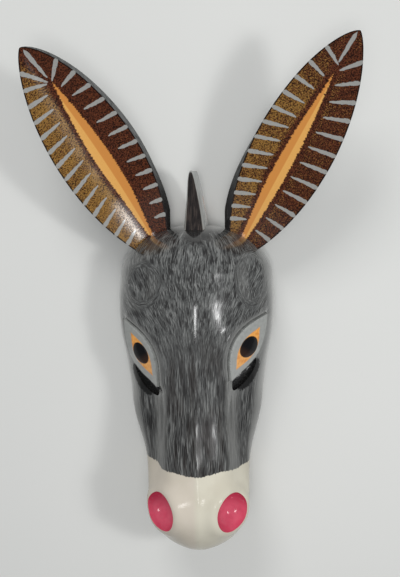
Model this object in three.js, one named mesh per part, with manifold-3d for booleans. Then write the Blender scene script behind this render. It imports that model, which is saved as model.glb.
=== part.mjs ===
// A carved and painted wooden donkey mask, lying on its flat back rim with the face up.
// Millimetres. +Z points out of the face, +Y to the ear tips, +X to the right of who looks at it.
import * as THREE from 'three';
import { mergeVertices } from 'three/addons/utils/BufferGeometryUtils.js';
import Module from 'manifold-3d';

const wasm = await Module();
wasm.setup();

// The head's driving sizes
const HEAD_LENGTH = 345;
const HEAD_WIDTH = 172;
const HEAD_DEPTH = 119;
const WALL = 10;
const JOINT_GAP = 0.3;
const HALF_WIDTH = HEAD_WIDTH / 2;

// The carver's sections, from the poll (at 0) to the lips (at 1): first the flank, with the rim as
// a share of the half width, then the face. Pairs are shares of the half width and of the depth.
const FLANK = [
  { at: 0.00, rim: 0.94, side: [0.97, 0.22], cheek: [0.84, 0.49] },
  { at: 0.16, rim: 0.95, side: [0.98, 0.22], cheek: [0.87, 0.47] },
  { at: 0.25, rim: 0.96, side: [1.00, 0.22], cheek: [0.91, 0.47] },
  { at: 0.34, rim: 0.93, side: [0.97, 0.22], cheek: [0.89, 0.44] },
  { at: 0.42, rim: 0.88, side: [0.91, 0.21], cheek: [0.82, 0.44] },
  { at: 0.50, rim: 0.84, side: [0.86, 0.21], cheek: [0.75, 0.42] },
  { at: 0.60, rim: 0.79, side: [0.81, 0.21], cheek: [0.70, 0.42] },
  { at: 0.70, rim: 0.68, side: [0.70, 0.22], cheek: [0.63, 0.44] },
  { at: 0.77, rim: 0.56, side: [0.62, 0.27], cheek: [0.62, 0.55] },
  { at: 0.82, rim: 0.46, side: [0.56, 0.34], cheek: [0.61, 0.66] },
  { at: 0.87, rim: 0.40, side: [0.52, 0.38], cheek: [0.59, 0.67] },
  { at: 1.00, rim: 0.36, side: [0.48, 0.40], cheek: [0.56, 0.66] },
];
const FACE = [
  { at: 0.00, hollow: [0.58, 0.70], bridge: [0.29, 0.82], ridge: 0.860 },
  { at: 0.16, hollow: [0.60, 0.70], bridge: [0.30, 0.82], ridge: 0.865 },
  { at: 0.25, hollow: [0.64, 0.70], bridge: [0.33, 0.83], ridge: 0.890 },
  { at: 0.34, hollow: [0.63, 0.66], bridge: [0.34, 0.83], ridge: 0.885 },
  { at: 0.42, hollow: [0.57, 0.63], bridge: [0.33, 0.80], ridge: 0.870 },
  { at: 0.50, hollow: [0.50, 0.58], bridge: [0.33, 0.77], ridge: 0.860 },
  { at: 0.60, hollow: [0.47, 0.57], bridge: [0.33, 0.78], ridge: 0.875 },
  { at: 0.70, hollow: [0.48, 0.62], bridge: [0.34, 0.83], ridge: 0.930 },
  { at: 0.77, hollow: [0.49, 0.75], bridge: [0.31, 0.91], ridge: 0.970 },
  { at: 0.82, hollow: [0.46, 0.83], bridge: [0.26, 0.97], ridge: 0.995 },
  { at: 0.87, hollow: [0.45, 0.84], bridge: [0.24, 0.97], ridge: 1.000 },
  { at: 1.00, hollow: [0.43, 0.82], bridge: [0.22, 0.94], ridge: 0.975 },
];
const CHIN = { start: 0.78, end: 0.92, lift: 0.21 };
const POLL = { round: 0.16, squareness: 2.6 };
const LIPS = { round: 0.14, taper: 1.1, height: 0.52 };
const RIDGE_CREASE = { start: 0.12, end: 0.3 };
const MUZZLE_DRIFT = 2.5;
const DRIFT = { start: 0.6, end: 0.9 };

// How finely the head is cut
const SECTION_STEPS = [2, 3, 4, 4, 3];
const RIM_STEPS = 4;
const POLL_RINGS = 7;
const FACE_RINGS = 31;
const LIP_RINGS = 7;
const PROBE = 0.004;
const SEARCH_STEPS = 30;

// The hollow behind the face, and where it curves up to end behind the muzzle
const HOLLOW = { start: 0.02, bend: 0.60, end: 0.745 };
const HOLLOW_RINGS = 18;
const HOLLOW_STEPS = 11;
const BACK_OPEN = 6;

// The eyes: an almond carved proud of each temple, wider to the brow than to the cheek, a lid that
// overhangs a scooped recess below it, and a narrow slit at the head of it to look through.
// out is a share of the half width, at of the length, and angles are in degrees.
const EYE_LENGTH = 80;
const EYES = {
  left: { out: 0.674, at: 0.398, lean: 62.4, brow: 14, cheek: 12, pupil: [11.5, 6.8], drop: 6.4, turn: 14 },
  right: { out: 0.645, at: 0.381, lean: 59.3, brow: 17.5, cheek: 12, pupil: [11.5, 8], drop: 9, turn: 11 },
};
const EYE_FULLNESS = 1.1;
const EYE_LIFT = 2.6;
const EYE_ROOT = 7;
const EYE_LENGTH_STEPS = 14;
const EYE_WIDTH_STEPS = 6;
const PUPIL_RISE = 2.4;
const BROW = { rise: 3.2, width: 6, reach: 0.62, fade: 0.2 };
const SOCKET_SINK = 2.2;
const FACE_FADE = { start: 1, end: 1.6 };
const RECESS = { a: 28, along: 22, across: 11.5, deep: 10 };
const SLIT = { a: 27, below: 1.5, along: 27, across: 4.5, reach: 40, turn: 12.5 };

// Shallow dishes in the temples, above the eyes
const DISHES = {
  left: { out: 0.63, at: 0.188, half: [18, 21], deep: 5 },
  right: { out: 0.68, at: 0.172, half: [15, 27], deep: 5 },
};

// Nostril bowls and the flare round each
const NOSTRIL = { out: 0.4186, at: 0.856, radius: 20.5, deep: 17, proud: 2 };
const FLARE = { rise: 3.2, at: 1.05, width: 0.34 };

// The cut between the lips, on the side of the muzzle and turned up at its ends
const MOUTH = { half: 0.955, turnUp: 0.935, tip: 0.9995, sideU: 1.5, endU: 2.1, radius: 1.8 };
const MOUTH_STEPS = 30;
const MOUTH_SIDES = 6;

// The ears: a leaf with a grooved face and a round back. foot is out as a share of the half width,
// below the poll in millimetres, and high as a share of the depth. shoulder is how far the back
// shows past the face's inner edge, and the cup widens it from the foot as far as cupEnd.
const EAR_GROOVE = 10;
const EAR_GROOVE_ROUND = 1.5;
const EAR_BULGE = 17;
const EAR_EDGE = 3.2;
const EAR_FULLNESS = 0.78;
const EAR_ROOT = 0.15;
const EAR_SUNK = 0.07;
const EAR_RINGS = 20;
const EAR_FACE_STEPS = 10;
const EAR_TIP = { gain: 0.13, start: 0.4, end: 0.8 };
const EARS = {
  left: {
    out: 0.605, below: 15, high: 0.42, reach: [-116, 184, 82], turn: 7,
    outer: 38, inner: 47.5, rib: 8, shoulder: 4.8, cup: 3.5, cupEnd: 0.3,
  },
  right: {
    out: 0.663, below: 12, high: 0.42, reach: [108, 195, 82], turn: 7,
    outer: 41, inner: 44, rib: 3, shoulder: 0.5, cup: 8, cupEnd: 0.5,
  },
};

// The forelock: an upright wedge of mane between the ears. half and lean are shares of its half
// width, front and rear of its height above the rim.
const FORELOCK_LENGTH = 77;
const FORELOCK_SUNK = 21;
const FORELOCK_HALF_WIDTH = 13;
const FORELOCK_HEIGHT = 70;
const FORELOCK = [
  { at: 0.00, half: 1.000, front: 1.000, rear: 0.114, lean: [-0.077, 0.231] },
  { at: 0.30, half: 0.846, front: 0.971, rear: 0.200, lean: [-0.123, 0.231] },
  { at: 0.60, half: 0.585, front: 0.929, rear: 0.343, lean: [-0.200, 0.200] },
  { at: 0.85, half: 0.354, front: 0.886, rear: 0.486, lean: [-0.323, 0.154] },
  { at: 1.00, half: 0.185, front: 0.829, rear: 0.600, lean: [-0.369, 0.108] },
];
const FORELOCK_SQUARENESS = 0.45;
const FORELOCK_RINGS = 9;
const FORELOCK_SIDES = 14;

const SIDES = { left: -1, right: 1 };
const RIDGE_U = SECTION_STEPS.length;
const { smoothstep, degToRad } = THREE.MathUtils;

// Smooth curve through the rows' values, level past the first and the last row
function glide(rows, pick, at) {
  const last = rows.length - 1;
  if (at <= rows[0].at) {
    return pick(rows[0]);
  }
  if (at >= rows[last].at) {
    return pick(rows[last]);
  }
  let i = 0;
  while (rows[i + 1].at < at) {
    i += 1;
  }
  const slope = (k) => {
    if (k === 0 || k === last) {
      return 0;
    }
    return (pick(rows[k + 1]) - pick(rows[k - 1])) / (rows[k + 1].at - rows[k - 1].at);
  };
  const span = rows[i + 1].at - rows[i].at;
  const share = (at - rows[i].at) / span;
  return hermite(pick(rows[i]), slope(i) * span, pick(rows[i + 1]), slope(i + 1) * span, share);
}

function hermite(from, fromSlope, to, toSlope, s) {
  const s2 = s * s;
  const s3 = s2 * s;
  return (2 * s3 - 3 * s2 + 1) * from + (s3 - 2 * s2 + s) * fromSlope
    + (3 * s2 - 2 * s3) * to + (s3 - s2) * toSlope;
}

// Six points of half a section: rim, side, cheek, hollow, bridge edge and ridge, as [x, z]
function sectionPoints(t) {
  const pair = (rows, name) => [0, 1].map((k) => glide(rows, (row) => row[name][k], t));
  const points = [
    [glide(FLANK, (row) => row.rim, t), CHIN.lift * smoothstep(t, CHIN.start, CHIN.end)],
    pair(FLANK, 'side'),
    pair(FLANK, 'cheek'),
    pair(FACE, 'hollow'),
    pair(FACE, 'bridge'),
    [0, glide(FACE, (row) => row.ridge, t)],
  ];
  let wide = 1;
  let deep = 1;
  let about = 0;
  if (t < POLL.round) {
    const r = 1 - t / POLL.round;
    wide = Math.sqrt(1 - r * r);
    deep = (1 - r ** POLL.squareness) ** (1 / POLL.squareness);
  }
  if (t > 1 - LIPS.round) {
    const r = Math.min(1, (t - 1 + LIPS.round) / LIPS.round);
    deep = Math.sqrt(1 - r * r);
    wide = deep ** LIPS.taper;
    about = LIPS.height;
  }
  return points.map(([x, z]) => [x * wide * HALF_WIDTH, (about + (z - about) * deep) * HEAD_DEPTH]);
}

// A point on the plain head, with the poll at y 0. u runs from 0 on the back rim to RIDGE_U on the
// nose ridge, and sign is -1 for the left side.
function plainPoint(t, u, sign) {
  const points = sectionPoints(t);
  const i = Math.min(RIDGE_U - 1, Math.floor(u));
  const crease = smoothstep(t, RIDGE_CREASE.start, RIDGE_CREASE.end);
  const tangent = (k, c) => {
    if (k === 0) {
      return points[1][c] - points[0][c];
    }
    if (k === RIDGE_U) {
      const natural = points[k][c] - points[k - 1][c];
      return c === 0 ? natural : natural * crease;
    }
    return (points[k + 1][c] - points[k - 1][c]) / 2;
  };
  const along = (c) => hermite(points[i][c], tangent(i, c), points[i + 1][c], tangent(i + 1, c), u - i);
  const drift = MUZZLE_DRIFT * smoothstep(t, DRIFT.start, DRIFT.end);
  return new THREE.Vector3(sign * along(0) + drift, -t * HEAD_LENGTH, along(1));
}

function plainNormal(t, u, sign) {
  const nearT = Math.min(1 - 2 * PROBE, Math.max(PROBE, t));
  const nearU = Math.min(RIDGE_U - PROBE, Math.max(PROBE, u));
  const along = plainPoint(nearT + PROBE, u, sign).sub(plainPoint(nearT - PROBE / 2, u, sign));
  const across = plainPoint(nearT, nearU + PROBE, sign).sub(plainPoint(nearT, nearU - PROBE, sign));
  const normal = across.cross(along).multiplyScalar(sign);
  if (u > RIDGE_U - PROBE) {
    normal.x = 0;
  }
  return normal.normalize();
}

// An eye with its own frame: a runs down along the almond, b across it towards the brow
function eyeFrame(name) {
  const sign = SIDES[name];
  const lean = degToRad(EYES[name].lean);
  return {
    ...EYES[name],
    sign,
    x: sign * EYES[name].out * HALF_WIDTH,
    y: -EYES[name].at * HEAD_LENGTH,
    aWay: [-sign * Math.cos(lean), -Math.sin(lean)],
    bWay: [-sign * Math.sin(lean), Math.cos(lean)],
  };
}

const EYE_FRAMES = { left: eyeFrame('left'), right: eyeFrame('right') };

// How far the almond's edge lies from its middle line at a, where width is its greatest reach
function almondEdge(a, width) {
  const share = Math.min(1, Math.abs(a) / (EYE_LENGTH / 2));
  return width * (1 - share * share) ** EYE_FULLNESS;
}

const bell = (distance) => Math.exp(-distance * distance);

// How far the carving stands above the plain head, or sinks below it
function carving(p, name) {
  const eye = EYE_FRAMES[name];
  const dx = p.x - eye.x;
  const dy = p.y - eye.y;
  const a = dx * eye.aWay[0] + dy * eye.aWay[1];
  const b = dx * eye.bWay[0] + dy * eye.bWay[1];
  const near = smoothstep(EYE_LENGTH * BROW.reach - Math.abs(a), 0, EYE_LENGTH * BROW.fade);
  const above = b - almondEdge(a, eye.brow);
  const brow = BROW.rise * near * bell((above - BROW.width) / BROW.width);
  const socket = SOCKET_SINK * near * bell(above / (BROW.width / 2));
  const dish = DISHES[name];
  const sx = (p.x - SIDES[name] * dish.out * HALF_WIDTH) / dish.half[0];
  const sy = (p.y + dish.at * HEAD_LENGTH) / dish.half[1];
  const inside = Math.max(0, 1 - sx * sx - sy * sy);
  return brow - socket - dish.deep * inside * Math.sqrt(inside);
}

function headPoint(t, u, name, swell = 0) {
  const sign = SIDES[name];
  const p = plainPoint(t, u, sign);
  const normal = plainNormal(t, u, sign);
  let height = swell;
  if (u > FACE_FADE.start) {
    const fromNostril = p.distanceTo(NOSTRILS[name].seat) / NOSTRIL.radius - FLARE.at;
    height += carving(p, name) * smoothstep(u, FACE_FADE.start, FACE_FADE.end);
    height += FLARE.rise * bell(fromNostril / FLARE.width);
  }
  return p.addScaledVector(normal, height);
}

// Where the plain head passes through x and y, as t and u
function findFace(x, y, name) {
  const sign = SIDES[name];
  const t = -y / HEAD_LENGTH;
  let low = 1;
  let high = RIDGE_U;
  for (let k = 0; k < SEARCH_STEPS; k += 1) {
    const mid = (low + high) / 2;
    if (sign * plainPoint(t, mid, sign).x > sign * x) {
      low = mid;
    } else {
      high = mid;
    }
  }
  return [t, low];
}

function nostrilSeat(name) {
  const sign = SIDES[name];
  const [t, u] = findFace(sign * NOSTRIL.out * HALF_WIDTH, -NOSTRIL.at * HEAD_LENGTH, name);
  return { seat: plainPoint(t, u, sign), normal: plainNormal(t, u, sign) };
}

const NOSTRILS = { left: nostrilSeat('left'), right: nostrilSeat('right') };

// Closed body through rings of equal count, each end drawn to one point
function loft(rings, startPoint, endPoint) {
  const positions = [];
  const index = [];
  const count = rings[0].length;
  for (const ring of rings) {
    for (const p of ring) {
      positions.push(p.x, p.y, p.z);
    }
  }
  const start = rings.length * count;
  positions.push(startPoint.x, startPoint.y, startPoint.z, endPoint.x, endPoint.y, endPoint.z);
  for (let j = 0; j < count; j += 1) {
    const next = (j + 1) % count;
    index.push(start, next, j);
    for (let i = 0; i + 1 < rings.length; i += 1) {
      const row = i * count;
      index.push(row + j, row + next, row + count + j);
      index.push(row + next, row + count + next, row + count + j);
    }
    const top = (rings.length - 1) * count;
    index.push(start + 1, top + j, top + next);
  }
  const geometry = new THREE.BufferGeometry();
  geometry.setAttribute('position', new THREE.Float32BufferAttribute(positions, 3));
  geometry.setIndex(index);
  if (signedVolume(geometry) < 0) {
    for (let k = 0; k < index.length; k += 3) {
      [index[k + 1], index[k + 2]] = [index[k + 2], index[k + 1]];
    }
    geometry.setIndex(index);
  }
  return geometry;
}

function signedVolume(geometry) {
  const place = geometry.attributes.position;
  const index = geometry.index.array;
  const corners = [new THREE.Vector3(), new THREE.Vector3(), new THREE.Vector3()];
  let volume = 0;
  for (let k = 0; k < index.length; k += 3) {
    corners.forEach((corner, c) => corner.fromBufferAttribute(place, index[k + c]));
    volume += corners[0].dot(corners[1].clone().cross(corners[2])) / 6;
  }
  return volume;
}

function centreOf(ring) {
  return ring.reduce((sum, p) => sum.add(p), new THREE.Vector3()).divideScalar(ring.length);
}

function toSolid(geometry) {
  const bare = geometry.clone();
  bare.deleteAttribute('normal');
  bare.deleteAttribute('uv');
  const merged = mergeVertices(bare, 1e-4);
  return new wasm.Manifold(new wasm.Mesh({
    numProp: 3,
    vertProperties: new Float32Array(merged.attributes.position.array),
    triVerts: new Uint32Array(merged.index.array),
  }));
}

function toGeometry(solid) {
  const mesh = solid.getMesh();
  const geometry = new THREE.BufferGeometry();
  geometry.setAttribute('position', new THREE.Float32BufferAttribute(mesh.vertProperties, 3));
  geometry.setIndex(Array.from(mesh.triVerts));
  geometry.computeVertexNormals();
  return geometry;
}

// One closed ring of the head at t: over the face from left to right, and back along the rim
function headRing(t, swell) {
  const ring = [];
  const steps = [];
  SECTION_STEPS.forEach((count, i) => {
    for (let k = 0; k < count; k += 1) {
      steps.push(i + k / count);
    }
  });
  steps.forEach((u) => ring.push(headPoint(t, u, 'left', swell)));
  ring.push(headPoint(t, RIDGE_U, 'left', swell));
  steps.reverse().forEach((u) => ring.push(headPoint(t, u, 'right', swell)));
  const first = ring[0];
  const last = ring[ring.length - 1];
  for (let k = 1; k < RIM_STEPS; k += 1) {
    ring.push(last.clone().lerp(first, k / RIM_STEPS));
  }
  return ring;
}

function headStations() {
  const stations = [];
  for (let k = 1; k < POLL_RINGS; k += 1) {
    stations.push(POLL.round * (1 - Math.cos((Math.PI / 2) * (k / POLL_RINGS))));
  }
  for (let k = 0; k <= FACE_RINGS; k += 1) {
    stations.push(POLL.round + (1 - LIPS.round - POLL.round) * (k / FACE_RINGS));
  }
  for (let k = 1; k < LIP_RINGS; k += 1) {
    stations.push(1 - LIPS.round + LIPS.round * Math.sin((Math.PI / 2) * (k / LIP_RINGS)));
  }
  return stations;
}

function headBody(swell = 0) {
  const rings = headStations().map((t) => headRing(t, swell));
  const poll = new THREE.Vector3(0, swell, 0);
  const lips = new THREE.Vector3(MUZZLE_DRIFT, -HEAD_LENGTH - swell, LIPS.height * HEAD_DEPTH);
  return toSolid(loft(rings, poll, lips));
}

// A point of the hollow: the plain head drawn in by the wall, and drawn up behind the muzzle
function hollowPoint(t, u, sign) {
  const r = Math.max(0, (t - HOLLOW.bend) / (HOLLOW.end - HOLLOW.bend));
  const draw = Math.sqrt(1 - r * r);
  const p = plainPoint(t, u, sign).addScaledVector(plainNormal(t, u, sign), -WALL);
  return new THREE.Vector3(p.x * draw, p.y, Math.max(0, p.z) * draw);
}

function hollowHalf(t, sign) {
  const half = [];
  for (let j = 0; j < HOLLOW_STEPS; j += 1) {
    half.push(hollowPoint(t, RIDGE_U * (j / HOLLOW_STEPS), sign));
  }
  half.unshift(half[0].clone().setZ(-BACK_OPEN));
  return half;
}

function hollowBody() {
  const rings = [];
  for (let k = 1; k <= HOLLOW_RINGS; k += 1) {
    const share = (1 - Math.cos(Math.PI * (k / (HOLLOW_RINGS + 1)))) / 2;
    const t = HOLLOW.start + (HOLLOW.end - HOLLOW.start) * share;
    const crown = hollowPoint(t, RIDGE_U, SIDES.right).setX(0);
    rings.push([...hollowHalf(t, SIDES.left), crown, ...hollowHalf(t, SIDES.right).reverse()]);
  }
  return toSolid(loft(rings, centreOf(rings[0]), centreOf(rings[rings.length - 1])));
}

// A unit sphere or box, stretched and set on the face with its Z outwards and its X as near to
// along as it goes
function seated(geometry, centre, along, normal, size) {
  const n = normal.clone().normalize();
  const b = new THREE.Vector3().crossVectors(n, along).normalize();
  const a = new THREE.Vector3().crossVectors(b, n);
  const matrix = new THREE.Matrix4().makeBasis(a, b, n);
  matrix.scale(new THREE.Vector3(...size));
  matrix.setPosition(centre);
  return toSolid(geometry.applyMatrix4(matrix));
}

function eyePoint(name, a, b, height) {
  const eye = EYE_FRAMES[name];
  const x = eye.x + a * eye.aWay[0] + b * eye.bWay[0];
  const y = eye.y + a * eye.aWay[1] + b * eye.bWay[1];
  const [t, u] = findFace(x, y, name);
  return plainPoint(t, u, eye.sign).addScaledVector(plainNormal(t, u, eye.sign), height);
}

// One ring of the almond at a: over its face, then back along its root below the surface
function almondRing(name, a) {
  const eye = EYE_FRAMES[name];
  const low = -almondEdge(a, eye.cheek);
  const high = almondEdge(a, eye.brow);
  const top = [];
  const under = [];
  for (let j = 0; j <= EYE_WIDTH_STEPS; j += 1) {
    const b = low + (high - low) * (j / EYE_WIDTH_STEPS);
    const dome = Math.max(0, 1 - (a / eye.pupil[0]) ** 2 - (b / eye.pupil[1]) ** 2);
    top.push(eyePoint(name, a, b, EYE_LIFT + PUPIL_RISE * Math.sqrt(dome)));
    under.unshift(eyePoint(name, a, b, -EYE_ROOT));
  }
  return [...top, ...under];
}

// The almond: a plate that follows the temple, proud at its edge and domed at the pupil
function almondBody(name) {
  const half = EYE_LENGTH / 2;
  const rings = [];
  for (let i = 1; i < EYE_LENGTH_STEPS; i += 1) {
    rings.push(almondRing(name, -half * Math.cos(Math.PI * (i / EYE_LENGTH_STEPS))));
  }
  const middle = EYE_LIFT - EYE_ROOT / 2;
  return toSolid(loft(rings, eyePoint(name, -half, 0, middle), eyePoint(name, half, 0, middle)));
}

// A cutter seated below the lid at a and b, turned by some degrees from the almond's line
function belowLid(name, geometry, a, b, turn, size) {
  const angle = degToRad(turn);
  const centre = eyePoint(name, a, b, 0);
  const outside = eyePoint(name, a, b, 1);
  const ahead = eyePoint(name, a + Math.cos(angle), b + Math.sin(angle), 0);
  return seated(geometry, centre, ahead.sub(centre), outside.sub(centre), size);
}

function eyeCutters(name) {
  const { drop, turn } = EYES[name];
  const sphere = new THREE.SphereGeometry(1, 18, 12);
  const box = new THREE.BoxGeometry(1, 1, 1);
  const recess = [RECESS.along, RECESS.across, RECESS.deep];
  const slit = [SLIT.along, SLIT.across, SLIT.reach];
  return [
    belowLid(name, sphere, RECESS.a, -drop, turn, recess),
    belowLid(name, box, SLIT.a, -drop - SLIT.below, turn + SLIT.turn, slit),
  ];
}

function nostrilBody(name) {
  const { seat, normal } = NOSTRILS[name];
  const centre = seat.clone().addScaledVector(normal, NOSTRIL.proud);
  const sphere = new THREE.SphereGeometry(1, 24, 14);
  const size = [NOSTRIL.radius, NOSTRIL.radius, NOSTRIL.deep + NOSTRIL.proud];
  return seated(sphere, centre, new THREE.Vector3(0, 1, 0), normal, size);
}

// One half of the way the cut between the lips takes, from its turned-up end to the front
function mouthHalf(name) {
  return [
    headPoint(MOUTH.turnUp, MOUTH.endU, name),
    headPoint(MOUTH.half, MOUTH.sideU, name),
    headPoint((1 + MOUTH.half) / 2, MOUTH.sideU, name),
  ];
}

function mouthBody() {
  const front = headPoint(MOUTH.tip, MOUTH.sideU, 'left');
  const way = [...mouthHalf('left'), front, ...mouthHalf('right').reverse()];
  const round = new THREE.EllipseCurve(0, 0, MOUTH.radius, MOUTH.radius).getPoints(MOUTH_SIDES);
  const extrudePath = new THREE.CatmullRomCurve3(way);
  const shape = new THREE.Shape(round.slice(0, -1));
  return toSolid(new THREE.ExtrudeGeometry(shape, { steps: MOUTH_STEPS, extrudePath }));
}

function buildHead() {
  let head = headBody().subtract(hollowBody());
  for (const name of ['left', 'right']) {
    for (const cutter of eyeCutters(name)) {
      head = head.subtract(cutter);
    }
    head = head.add(almondBody(name));
    head = head.subtract(nostrilBody(name));
  }
  return head.subtract(mouthBody());
}

// An ear's half width as a share of its greatest, from the foot (0) to the tip (1)
function earWidth(s) {
  const share = (s + EAR_ROOT) / (1 + EAR_ROOT);
  return (4 * share * (1 - share)) ** EAR_FULLNESS;
}

// Where an ear stands and its directions: along it, out to its side and out of its face
function earFrame(name) {
  const ear = EARS[name];
  const sign = SIDES[name];
  const foot = new THREE.Vector3(sign * ear.out * HALF_WIDTH, -ear.below, ear.high * HEAD_DEPTH);
  const reach = new THREE.Vector3(...ear.reach);
  const axis = reach.clone().normalize();
  const facing = new THREE.Vector3(0, 0, 1).addScaledVector(axis, -axis.z).normalize();
  facing.applyAxisAngle(axis, -sign * degToRad(ear.turn));
  const outwards = new THREE.Vector3().crossVectors(axis, facing).multiplyScalar(sign);
  return { foot, reach, facing, outwards };
}

// One ring of an ear at s, as [across, height]: the grooved face, then the round back. The inner
// side is fuller towards the tip.
function earSection(ear, s) {
  const share = earWidth(s);
  const outer = ear.outer * share;
  const inner = ear.inner * share ** (1 - EAR_TIP.gain * smoothstep(s, EAR_TIP.start, EAR_TIP.end));
  const rib = -ear.rib * share;
  const ring = [];
  for (let j = 0; j <= EAR_FACE_STEPS; j += 1) {
    const v = 2 * (j / EAR_FACE_STEPS) - 1;
    const across = v > 0 ? rib + v * (outer - rib) : rib + v * (rib + inner);
    ring.push([across, -EAR_GROOVE * share * (1 - Math.abs(v) ** EAR_GROOVE_ROUND)]);
  }
  const past = ear.shoulder * Math.sqrt(share) + ear.cup * (1 - smoothstep(s, 0, ear.cupEnd));
  const middle = (outer - inner - past) / 2;
  const half = (outer + inner + past) / 2;
  for (let j = 1; j < EAR_FACE_STEPS; j += 1) {
    const angle = Math.PI * (j / EAR_FACE_STEPS);
    const depth = EAR_EDGE * Math.sqrt(share) + EAR_BULGE * share * Math.sin(angle);
    ring.push([middle + half * Math.cos(angle), -depth]);
  }
  return ring;
}

function buildEar(name) {
  const { foot, reach, facing, outwards } = earFrame(name);
  const rings = [];
  for (let i = 0; i < EAR_RINGS; i += 1) {
    const s = -EAR_SUNK + (1 + EAR_SUNK) * Math.sin((Math.PI / 2) * (i / EAR_RINGS));
    const centre = foot.clone().addScaledVector(reach, s);
    rings.push(earSection(EARS[name], s).map(([across, height]) => (
      centre.clone().addScaledVector(outwards, across).addScaledVector(facing, height)
    )));
  }
  const tip = foot.clone().add(reach).addScaledVector(facing, -EAR_EDGE / 2);
  return toSolid(loft(rings, centreOf(rings[0]), tip)).subtract(headBody(JOINT_GAP));
}

// One ring of the forelock, from its foot (0) to its top (1), leaning more at its front
function forelockRing(at) {
  const pick = (read) => glide(FORELOCK, read, at);
  const half = FORELOCK_HALF_WIDTH * pick((row) => row.half);
  const front = FORELOCK_HEIGHT * pick((row) => row.front);
  const rear = FORELOCK_HEIGHT * pick((row) => row.rear);
  const leanFront = FORELOCK_HALF_WIDTH * pick((row) => row.lean[0]);
  const leanRear = FORELOCK_HALF_WIDTH * pick((row) => row.lean[1]);
  const square = (v) => Math.sign(v) * Math.abs(v) ** FORELOCK_SQUARENESS;
  const ring = [];
  for (let j = 0; j < FORELOCK_SIDES; j += 1) {
    const angle = 2 * Math.PI * ((j + 0.5) / FORELOCK_SIDES);
    const depth = (1 + square(Math.sin(angle))) / 2;
    const x = leanRear + (leanFront - leanRear) * depth + half * square(Math.cos(angle));
    ring.push(new THREE.Vector3(x, FORELOCK_LENGTH * at - FORELOCK_SUNK, rear + (front - rear) * depth));
  }
  return ring;
}

function buildForelock() {
  const rings = [];
  for (let i = 0; i <= FORELOCK_RINGS; i += 1) {
    rings.push(forelockRing(i / FORELOCK_RINGS));
  }
  const body = loft(rings, centreOf(rings[0]), centreOf(rings[FORELOCK_RINGS]));
  return toSolid(body).subtract(headBody(JOINT_GAP));
}

function meshOf(name, solid, colour, roughness) {
  const material = new THREE.MeshStandardMaterial({ color: colour, roughness, metalness: 0 });
  const mesh = new THREE.Mesh(toGeometry(solid), material);
  mesh.name = name;
  return mesh;
}

const mask = new THREE.Group();
mask.add(meshOf('head', buildHead(), 0x52544f, 0.3));
mask.add(meshOf('left_ear', buildEar('left'), 0x6e4a2a, 0.3));
mask.add(meshOf('right_ear', buildEar('right'), 0x6e4a2a, 0.3));
mask.add(meshOf('forelock', buildForelock(), 0x3a3733, 0.35));

// The part's origin is the middle of its outline, on the plane of the back rim
const bounds = new THREE.Box3().setFromObject(mask);
const middle = bounds.getCenter(new THREE.Vector3());
mask.position.set(-middle.x, -middle.y, -bounds.min.z);

const group = new THREE.Group();
group.add(mask);

export default group;
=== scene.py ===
"""A carved and painted wooden donkey mask, lying on its back rim, seen from above."""
import math

import bpy
import numpy as np
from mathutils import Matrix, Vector


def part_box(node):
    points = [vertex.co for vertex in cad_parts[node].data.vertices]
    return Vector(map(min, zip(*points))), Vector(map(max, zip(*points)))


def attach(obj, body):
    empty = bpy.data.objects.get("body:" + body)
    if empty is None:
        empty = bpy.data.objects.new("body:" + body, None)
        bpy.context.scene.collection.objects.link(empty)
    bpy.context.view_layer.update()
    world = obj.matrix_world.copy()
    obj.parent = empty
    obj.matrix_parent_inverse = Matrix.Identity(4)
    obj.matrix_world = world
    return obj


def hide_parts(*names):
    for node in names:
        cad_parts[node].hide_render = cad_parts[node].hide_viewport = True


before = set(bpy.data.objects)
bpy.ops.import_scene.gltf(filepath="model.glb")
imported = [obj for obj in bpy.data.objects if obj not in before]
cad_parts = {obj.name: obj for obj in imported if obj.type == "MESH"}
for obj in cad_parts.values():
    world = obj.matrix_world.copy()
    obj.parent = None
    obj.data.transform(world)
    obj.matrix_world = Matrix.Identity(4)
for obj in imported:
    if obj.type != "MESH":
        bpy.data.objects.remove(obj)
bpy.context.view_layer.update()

MM = 0.001
SIDES = {"left": -1, "right": 1}

# The head's place, read from the frame: the ridge line, the poll and the reach down to the lips
head_low, head_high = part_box("head")
RIDGE_X = (head_low.x + head_high.x) / 2 / MM
POLL_Y = head_high.y / MM
HEAD_LENGTH = (head_high.y - head_low.y) / MM
HALF_WIDTH = (head_high.x - head_low.x) / 2 / MM
HEAD_DEPTH = 119.0
WALL = 10.0

# The photo's view: a camera square to the back rim, a little to the right of the ridge
PHOTO_SIZE = (400, 577)
PHOTO_FOOT = (218.0, 255.0)
FOCAL_PIXELS = 787.0
EYE_POINT = (24.0, -35.0, 900.0)
ROLL_DEG = 0.5
SENSOR = 36.0


def make_camera():
    data = bpy.data.cameras.new("camera")
    data.sensor_fit = "VERTICAL"
    data.sensor_height = SENSOR
    data.lens = SENSOR * FOCAL_PIXELS / PHOTO_SIZE[1]
    data.shift_x = (PHOTO_SIZE[0] / 2 - PHOTO_FOOT[0]) / PHOTO_SIZE[1]
    data.shift_y = (PHOTO_FOOT[1] - PHOTO_SIZE[1] / 2) / PHOTO_SIZE[1]
    camera = bpy.data.objects.new("camera", data)
    camera.location = place(EYE_POINT)
    camera.rotation_euler = (0, 0, math.radians(-ROLL_DEG))
    bpy.context.scene.collection.objects.link(camera)
    bpy.context.scene.camera = camera


def place(points):
    """From millimetres about the poll, on the ridge line, to the frame's metres."""
    return (np.asarray(points, float) + np.array([RIDGE_X, POLL_Y, 0.0])) * MM


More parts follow.
